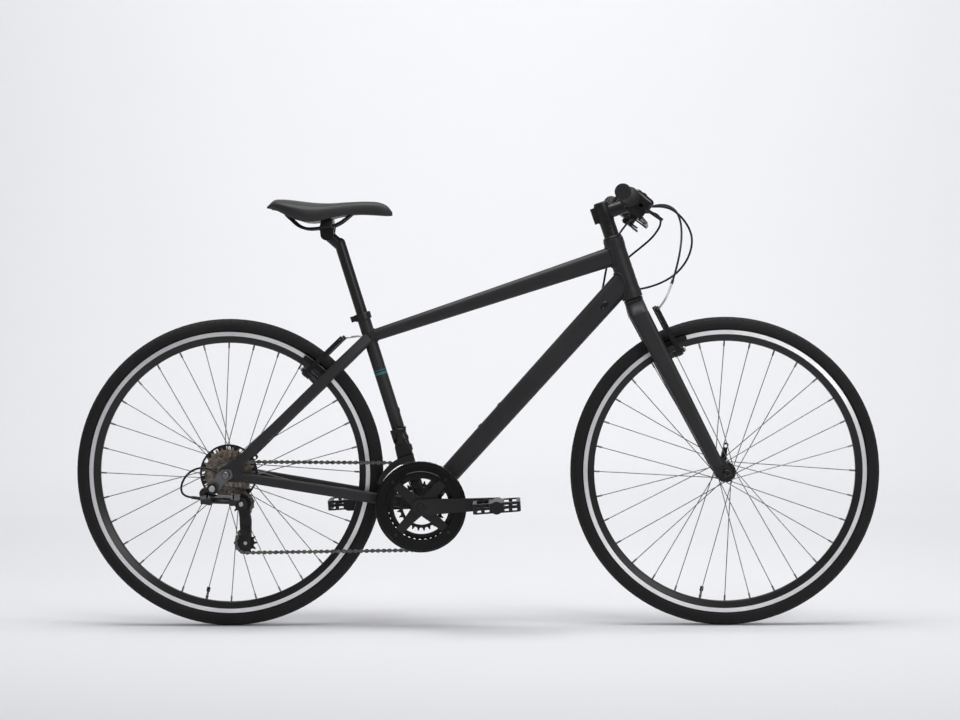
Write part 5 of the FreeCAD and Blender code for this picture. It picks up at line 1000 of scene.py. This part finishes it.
# %% [markdown]
# ## The roller chain
# A chain is inner links with rollers and outer links with pins, taken in turn. Each plate is waisted like
# a figure eight, which gives the chain its beaded look. The CAD chain says where each link lies; a plate
# is drawn once from a circle, thickened by extrusion, doubled, given its pins, and copied to every second
# link.

# %% Where the links lie
source = copy_of(frame["nodes"]["chain"], "chain_guide")
select_only(source)
bpy.ops.object.mode_set(mode="EDIT")
bpy.ops.mesh.select_all(action="SELECT")
bpy.ops.mesh.remove_doubles(threshold=0.00001)
bpy.ops.mesh.separate(type="LOOSE")
bpy.ops.object.mode_set(mode="OBJECT")
links = []
for item in list(bpy.context.selected_objects):
    spots = [item.matrix_world @ vertex.co for vertex in item.data.vertices]
    centre = sum(spots, Vector()) / len(spots)
    xx = sum((spot.x - centre.x) ** 2 for spot in spots)
    zz = sum((spot.z - centre.z) ** 2 for spot in spots)
    xz = sum((spot.x - centre.x) * (spot.z - centre.z) for spot in spots)
    links.append((centre, spoke_way(0.5 * math.atan2(2 * xz, xx - zz))))
    bpy.data.objects.remove(item)
print("links", len(links))

# %% [markdown]
# The solids come in no set order. So the loop starts at a known link on the sprocket, a second one says
# which way round it goes, and from there each link is followed by its nearest neighbour.

# %% Links in their order round the loop
FIRST_LINKS = (Vector((-0.5698, -0.056, 0.3219)), Vector((-0.5789, -0.056, 0.3303)))
ordered = []
while links:
    goal = FIRST_LINKS[len(ordered)] if len(ordered) < 2 else ordered[-1][0]
    nearest = min(range(len(links)), key=lambda index: (links[index][0] - goal).length)
    ordered.append(links.pop(nearest))
steps = [(b[0] - a[0]).length for a, b in zip(ordered, ordered[1:])]
print("steps from", round(min(steps) * 1000, 2), "to", round(max(steps) * 1000, 2), "mm")


# %% One link of each kind
PITCH = 0.0127
EYE_RADIUS = 0.0044
WAIST_HALF = 0.0017


def link_piece(name, offset, thickness, barrel_radius, barrel_half):
    """Two waisted plates at the offset on both sides, and a pin or roller at each end."""
    pieces = []
    for sign in (-1, 1):
        plate = start_from(bpy.ops.mesh.primitive_circle_add, "plate", vertices=16, radius=1,
                           fill_type="NGON")
        for vertex in plate.data.vertices:
            side = round(vertex.co.y, 4)
            reach = vertex.co.x * (PITCH / 2 + EYE_RADIUS)
            eye = max(0.0, EYE_RADIUS ** 2 - (abs(reach) - PITCH / 2) ** 2)
            half = math.copysign(max(WAIST_HALF, math.sqrt(eye)), side) if side else 0.0
            vertex.co = (reach, half, sign * offset - thickness / 2)
        bpy.ops.object.mode_set(mode="EDIT")
        bpy.ops.mesh.select_all(action="SELECT")
        bpy.ops.mesh.extrude_region_move(TRANSFORM_OT_translate={"value": (0, 0, thickness)})
        bpy.ops.mesh.select_all(action="SELECT")
        bpy.ops.mesh.normals_make_consistent(inside=False)
        bpy.ops.object.mode_set(mode="OBJECT")
        barrel = ring_stack("barrel", [(barrel_radius, -barrel_half), (barrel_radius, barrel_half)], 8)
        barrel.data.transform(Matrix.Translation((sign * PITCH / 2, 0, 0)))
        pieces += [plate, barrel]
    return join(name, pieces)


outer_link = link_piece("outer_link", 0.0031, 0.0009, 0.0018, 0.0040)
inner_link = link_piece("inner_link", 0.0020, 0.0009, 0.0038, 0.0016)
print("faces of a link", len(outer_link.data.polygons), len(inner_link.data.polygons))

# %% [markdown]
# ## The chain in five stretches
# The derailleur swings on the frame and its cage swings on the lower knuckle. The chain is joined in five
# stretches, and the table names for each the two parts it runs between; only the first one is fixed to
# the frame, and the other four stay where they lie.

# %% The whole chain
STRETCHES = (
    ("roller_chain", 0, 68, None),
    ("chain_lower_run", 68, 82, ("frame", "derailleur")),
    ("chain_to_cage", 82, 94, ("lower_knuckle", "cage")),
    ("chain_on_pulleys", 94, 109, ("cage", "lower_knuckle")),
    ("chain_to_sprocket", 109, 112, ("derailleur", "frame")),
)
GUIDE_WRAP = ((-0.521, -0.056, 0.262), (-0.521, -0.056, 0.304))


def pin_before(index):
    """Pin between a link and the one before it."""
    here, before = ordered[index % len(ordered)][0], ordered[index - 1][0]
    return tuple((here + before) / 2)


for name, first, last, bodies in STRETCHES:
    copies = []
    for index in range(first, last):
        centre, way = ordered[index]
        piece = copy_of(inner_link if index % 2 else outer_link, f"link_{index}")
        piece.data.transform(frame_matrix(centre, LEFT, way))
        copies.append(piece)
    stretch = smooth(join(name, copies), 35)
    wear(stretch, chain_steel)
    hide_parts("chain")
    if bodies is None:
        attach(stretch, "frame")
    else:
        on_pulleys = name == "chain_on_pulleys"
        start, end = GUIDE_WRAP if on_pulleys else (pin_before(first), pin_before(last))
        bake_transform(stretch)
    print(name, "faces", len(stretch.data.polygons))
for item in (outer_link, inner_link):
    bpy.data.objects.remove(item)

# %% [markdown]
# ## The front derailleur's cage
# Two thin plates stand on both sides of the chain and follow the round of the large ring. A grid bent
# round the crank's axis gives such a plate: its columns run along the arc and its rows go outward. The
# inner plate grows an ear that reaches up to the link, and a strap closes the cage at its tail.

# %% Cage plates
CAGE_FROM, CAGE_TO = math.radians(98), math.radians(151)
EAR_AT, EAR_HALF, EAR_RADIUS = math.radians(108), math.radians(8), 0.1545
PLATE_INNER, PLATE_OUTER, PLATE_THICKNESS = 0.1015, 0.1190, 0.0012
PLATE_RISE, PLATE_DROP = 0.004, 0.008


def cage_plate(name, y, ear):
    plate = start_from(bpy.ops.mesh.primitive_grid_add, name, x_subdivisions=40, y_subdivisions=5, size=2)
    for vertex in plate.data.vertices:
        share = vertex.co.x / 2 + 0.5
        angle = CAGE_FROM + (CAGE_TO - CAGE_FROM) * share
        inner = PLATE_INNER + PLATE_RISE * (1 - share)
        outer = PLATE_OUTER - PLATE_DROP * share ** 2
        if ear:
            near = max(0.0, 1 - (abs(angle - EAR_AT) / EAR_HALF) ** 4)
            outer += (EAR_RADIUS - outer) * near
        radius = inner + (outer - inner) * (vertex.co.y / 2 + 0.5)
        vertex.co = BRACKET + spoke_way(angle) * radius + LEFT * y
    return modify(plate, "SOLIDIFY", thickness=PLATE_THICKNESS, offset=0)


outer_plate = cage_plate("front_cage", -0.0640, False)
inner_plate = cage_plate("front_cage_inner", -0.0462, True)
tail = spoke_way(CAGE_TO)
strap = modify(box_of("strap", (0.0050, 0.0186, 0.0016)), "BEVEL", width=0.0006)
place(strap, frame_matrix(BRACKET + tail * 0.1090 + RIGHT * 0.0551, tail, tail.cross(LEFT)))
front_cage = smooth(join("front_cage", (outer_plate, inner_plate, strap)), 30)
wear(front_cage, gloss_black)
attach(front_cage, "shift_cage")
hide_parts("fd_cage")
print("cage faces", len(front_cage.data.polygons))

# %% [markdown]
# ## Weld seams
# Where a tube meets the head tube or the seat tube, the smoothed weld leaves a soft round seam. Its line
# is where the tube's outline, carried along the tube, meets the round tube; a thin round bead follows
# that line.

# %% Seams
HEAD_LOW = Vector((0.35027, 0, 0.73785))
TOP_TUBE = (BRACKET + SEAT_UP * 0.3945, HEAD_LOW + STEER_UP * 0.100)
DOWN_TUBE = (BRACKET, HEAD_LOW + STEER_UP * 0.043)
WELD_STEPS, SQUARENESS, SIDE_SHARE = 40, 0.55, 0.985


def squared(value):
    """Sine or cosine that lingers at its ends, for a box with round corners."""
    return math.copysign(abs(value) ** SQUARENESS, value)


def weld(name, start, end, depth, width, axis_point, axis, radius, bead):
    """Bead where a box-shaped tube that runs from start to end meets a round tube at its end."""
    way = (end - start).normalized()
    up = LEFT.cross(way).normalized()
    spots = []
    for step in range(WELD_STEPS):
        turn = step * 2 * math.pi / WELD_STEPS
        tall = squared(math.sin(turn)) * depth / 2
        wide = squared(math.cos(turn)) * width / 2
        wide = max(-radius * SIDE_SHARE, min(radius * SIDE_SHARE, wide))
        origin = end + up * tall + LEFT * wide - axis_point
        flat = origin - axis * origin.dot(axis)
        run = way - axis * way.dot(axis)
        a, b, c = run.dot(run), 2 * flat.dot(run), flat.dot(flat) - radius ** 2
        back = (-b - math.sqrt(b * b - 4 * a * c)) / (2 * a)
        spots.append(origin + axis_point + way * back)
    piece, line = curve_piece(name, spots, "POLY", 1)
    line.use_cyclic_u = True
    piece = smooth(tube_along(piece, bead, 3), 70)
    wear(piece, powder_coat)
    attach(piece, "frame")


weld("weld_top_head", *TOP_TUBE, 0.0445, 0.036, HEAD_LOW, STEER_UP, 0.0219, 0.0030)
weld("weld_down_head", *DOWN_TUBE, 0.0510, 0.042, HEAD_LOW, STEER_UP, 0.0222, 0.0030)
weld("weld_top_seat", TOP_TUBE[1], TOP_TUBE[0], 0.0270, 0.027, BRACKET, SEAT_UP, 0.0147, 0.0026)

# %% [markdown]
# ## Tread blocks
# The shoulders of the tread carry rows of small blocks. One block is a cube with its top face drawn in,
# and the copies stand round the wheel on both sides, half a step apart.

# %% Blocks on both tyres
TUBE_CENTRE, TUBE_RADIUS, BLOCK_SUNK = 0.3285, 0.0175, 0.0004
BLOCKS, LEAN = 120, math.radians(40)
block = draw_in(box_of("block", (0.0078, 0.0064, 0.0022)), 0.78)
for wheel, axle, finish in (("front", FRONT_AXLE, front_tyre_rubber),
                            ("rear", REAR_AXLE, rear_tyre_rubber)):
    copies = []
    for side in (-1, 1):
        for index in range(BLOCKS):
            outward = spoke_way((index + 0.25 * side) * 2 * math.pi / BLOCKS)
            normal = outward * math.cos(LEAN) + LEFT * side * math.sin(LEAN)
            spot = axle + outward * TUBE_CENTRE + normal * (TUBE_RADIUS - BLOCK_SUNK)
            piece = copy_of(block, f"{wheel}_block")
            piece.data.transform(frame_matrix(spot, normal, outward.cross(LEFT)))
            copies.append(piece)
    tread = join(f"{wheel}_tread_blocks", copies)
    wear(tread, finish)
    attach(tread, f"{wheel}_wheel")
bpy.data.objects.remove(block)
print("blocks on each tyre", 2 * BLOCKS)

# %% [markdown]
# ## Gear pods and the saddle clamp
# The shifters sit in rounded pods in front of the bars, inboard of the brake levers, each with a smooth
# domed window. Under the saddle the upper jaw of the clamp closes over the two rails. Pods and jaw start
# as a cube: the far face is drawn in and the edges are rounded with a bevel.

# %% Pods, windows and clamp jaw
POD_WAY = Vector((0.809, 0, -0.588))
POD_UP = Vector((0.588, 0, 0.809))
POD_SIDE = 0.1435
WINDOW = [(0.0062, -0.004), (0.0062, 0.0004), (0.0052, 0.0014), (0.0032, 0.0021), (0.0008, 0.0024)]


def rounded_block(name, size, taper, rounding):
    """Block along local Z, drawn in at its upper end and rounded."""
    return smooth(modify(draw_in(box_of(name, size), taper), "BEVEL", width=rounding, segments=5), 40)


for side, sign in (("left", 1), ("right", -1)):
    pod = rounded_block(f"gear_pod_{side}", (0.034, 0.030, 0.050), 0.80, 0.008)
    place(pod, frame_matrix((0.366, sign * POD_SIDE, 0.9475), POD_WAY, LEFT))
    wear(pod, gloss_black)
    window = smooth(ring_stack(f"gear_window_{side}", WINDOW), 50)
    stretched = Matrix.Diagonal((1.7, 1, 1, 1))
    place(window, frame_matrix((0.371, sign * POD_SIDE, 0.9605), POD_UP, LEFT) @ stretched)
    wear(window, moulded_plastic)
    for piece in (pod, window):
        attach(piece, "steer")
jaw = rounded_block("saddle_clamp_jaw", (0.030, 0.074, 0.022), 0.86, 0.004)
place(jaw, frame_matrix((-0.332, 0, 0.9045), (0, 0, 1), (1, 0, 0)))
wear(jaw, black_alloy)
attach(jaw, "saddle")
print("pods", round(pod.dimensions.x * 1000), "mm, jaw", round(jaw.dimensions.y * 1000), "mm wide")

# %% [markdown]
# ## Cable port
# On the drive side of the down tube an oval rubber plug closes the opening for the inner cables.

# %% Port plug
PLUG = [(0.0056, -0.002), (0.0056, 0.0008), (0.0050, 0.0014), (0.0036, 0.0014), (0.0031, 0.0008)]
down_way = (DOWN_TUBE[1] - DOWN_TUBE[0]).normalized()
plug = smooth(ring_stack("port_plug", PLUG), 40)
place(plug, frame_matrix((0.287, -0.0206, 0.7185), RIGHT, down_way) @ Matrix.Diagonal((2.3, 1, 1, 1)))
wear(plug, gloss_black)
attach(plug, "frame")
print("plug", round(plug.dimensions.x * 1000), "mm")

# %% [markdown]
# ## Studio
# A pale floor runs back and bends up into a wall, so there is no horizon; towards the camera its colour is
# painted darker, a painted shade. It shows from the front only, so a camera behind it looks through. One
# large softbox hangs above, a second one fills the drive side, a third one lights the wall, and the world
# gives the even white of a light tent.

# %% Floor that bends up into a wall
FLOOR_SIZE, FLOOR_MIDDLE, FLOOR_BACK = (20, 9.9, 1), (0, 1.75, 0), 3
WALL_HEIGHT, COVE_RADIUS, COVE_STEPS = 5.0, 2.2, 24


def select_edges(piece, wanted):
    """Selects the edges whose two ends are wanted, and goes into edit mode."""
    bpy.ops.object.mode_set(mode="OBJECT")
    for edge in piece.data.edges:
        edge.select = all(wanted(piece.data.vertices[index].co) for index in edge.vertices)
    bpy.ops.object.mode_set(mode="EDIT")


floor = start_from(bpy.ops.mesh.primitive_plane_add, "studio_floor", size=1)
floor.scale = FLOOR_SIZE
floor.location = FLOOR_MIDDLE
bpy.ops.object.transform_apply(location=True, rotation=True, scale=True)
bpy.ops.object.mode_set(mode="EDIT")
bpy.ops.mesh.select_all(action="DESELECT")
select_edges(floor, lambda spot: spot.y > FLOOR_BACK)
bpy.ops.mesh.select_mode(type="EDGE")
bpy.ops.mesh.extrude_region_move(TRANSFORM_OT_translate={"value": (0, 0, WALL_HEIGHT)})
select_edges(floor, lambda spot: abs(spot.z) < 0.01 and spot.y > FLOOR_BACK)
bpy.ops.mesh.bevel(offset=COVE_RADIUS, segments=COVE_STEPS, affect="EDGES")
bpy.ops.object.mode_set(mode="OBJECT")
smooth(floor, 60)
print("floor faces", len(floor.data.polygons))

# %% Floor's finish with painted shade towards the camera, clear from behind
# Painted shade: near the camera the floor's colour is darker, and it pales towards the wall, standing in
# for the light falling off over the front of the floor.
SHADE_FADE_FROM, SHADE_FADE_TO = -1.5, 2.5
NEAR_PAINTED_SHADE = (0.58, 0.582, 0.602)
pale = Finish("pale_floor", (0.905, 0.908, 0.925), (0.915, 0.918, 0.934), (0.85, 0.95), 60, 0.00001,
              cloud_scale=0.6, shine=0.0)
tree = pale.tree
back = tree.nodes.new("ShaderNodeMapRange")
back.inputs["From Min"].default_value = SHADE_FADE_FROM
back.inputs["From Max"].default_value = SHADE_FADE_TO
tree.links.new(object_axis(tree, "Y"), back.inputs["Value"])
# The painted shade is mixed into the floor's colour here, from the darker front to the pale back.
pale.recolour(mix_colour(tree, back.outputs[0], NEAR_PAINTED_SHADE, pale.colour))
facing = tree.nodes.new("ShaderNodeNewGeometry")
clear = tree.nodes.new("ShaderNodeBsdfTransparent")
one_sided = tree.nodes.new("ShaderNodeMixShader")
tree.links.new(facing.outputs["Backfacing"], one_sided.inputs[0])
tree.links.new(pale.shader.outputs[0], one_sided.inputs[1])
tree.links.new(clear.outputs[0], one_sided.inputs[2])
tree.links.new(one_sided.outputs[0], tree.nodes["Material Output"].inputs["Surface"])
wear(floor, pale)
print("floor pales from", SHADE_FADE_FROM, "to", SHADE_FADE_TO, "m")

# %% Lights and world
WORLD_STRENGTH, GLOSSY_STRENGTH, CAMERA_STRENGTH = 0.38, 0.30, 0.90
WORLD_COLOUR = (0.97, 0.975, 1.0, 1)


def softbox(name, place_at, look_at, size, power):
    bpy.ops.object.light_add(type="AREA", location=place_at)
    lamp = bpy.context.object
    lamp.name = name
    lamp.data.shape = "RECTANGLE"
    lamp.data.size, lamp.data.size_y = size
    lamp.data.energy = power
    lamp.rotation_euler = (Vector(look_at) - Vector(place_at)).to_track_quat("-Z", "Y").to_euler()


softbox("overhead", (0.0, -0.2, 3.2), (0, 0, 0.3), (3.2, 1.3), 98)
softbox("drive_side", (2.6, -4.0, 2.4), (0, 0, 0.5), (2.2, 2.0), 60)
softbox("backdrop", (0.0, 3.6, 3.6), (0, 6.7, 1.2), (7.0, 1.0), 92)
world = bpy.data.worlds.new("light_tent")
bpy.context.scene.world = world
world.use_nodes = True
tree = world.node_tree
background = tree.nodes["Background"]
background.inputs["Color"].default_value = WORLD_COLOUR
rays = tree.nodes.new("ShaderNodeLightPath")
strength = blend_value(tree, rays.outputs["Is Glossy Ray"], WORLD_STRENGTH, GLOSSY_STRENGTH)
seen = times(tree, rays.outputs["Is Camera Ray"], CAMERA_STRENGTH - WORLD_STRENGTH)
tree.links.new(plus(tree, strength, seen), background.inputs["Strength"])
bpy.context.scene.view_settings.view_transform = "Standard"
print("lights", [lamp.name for lamp in bpy.data.lights])
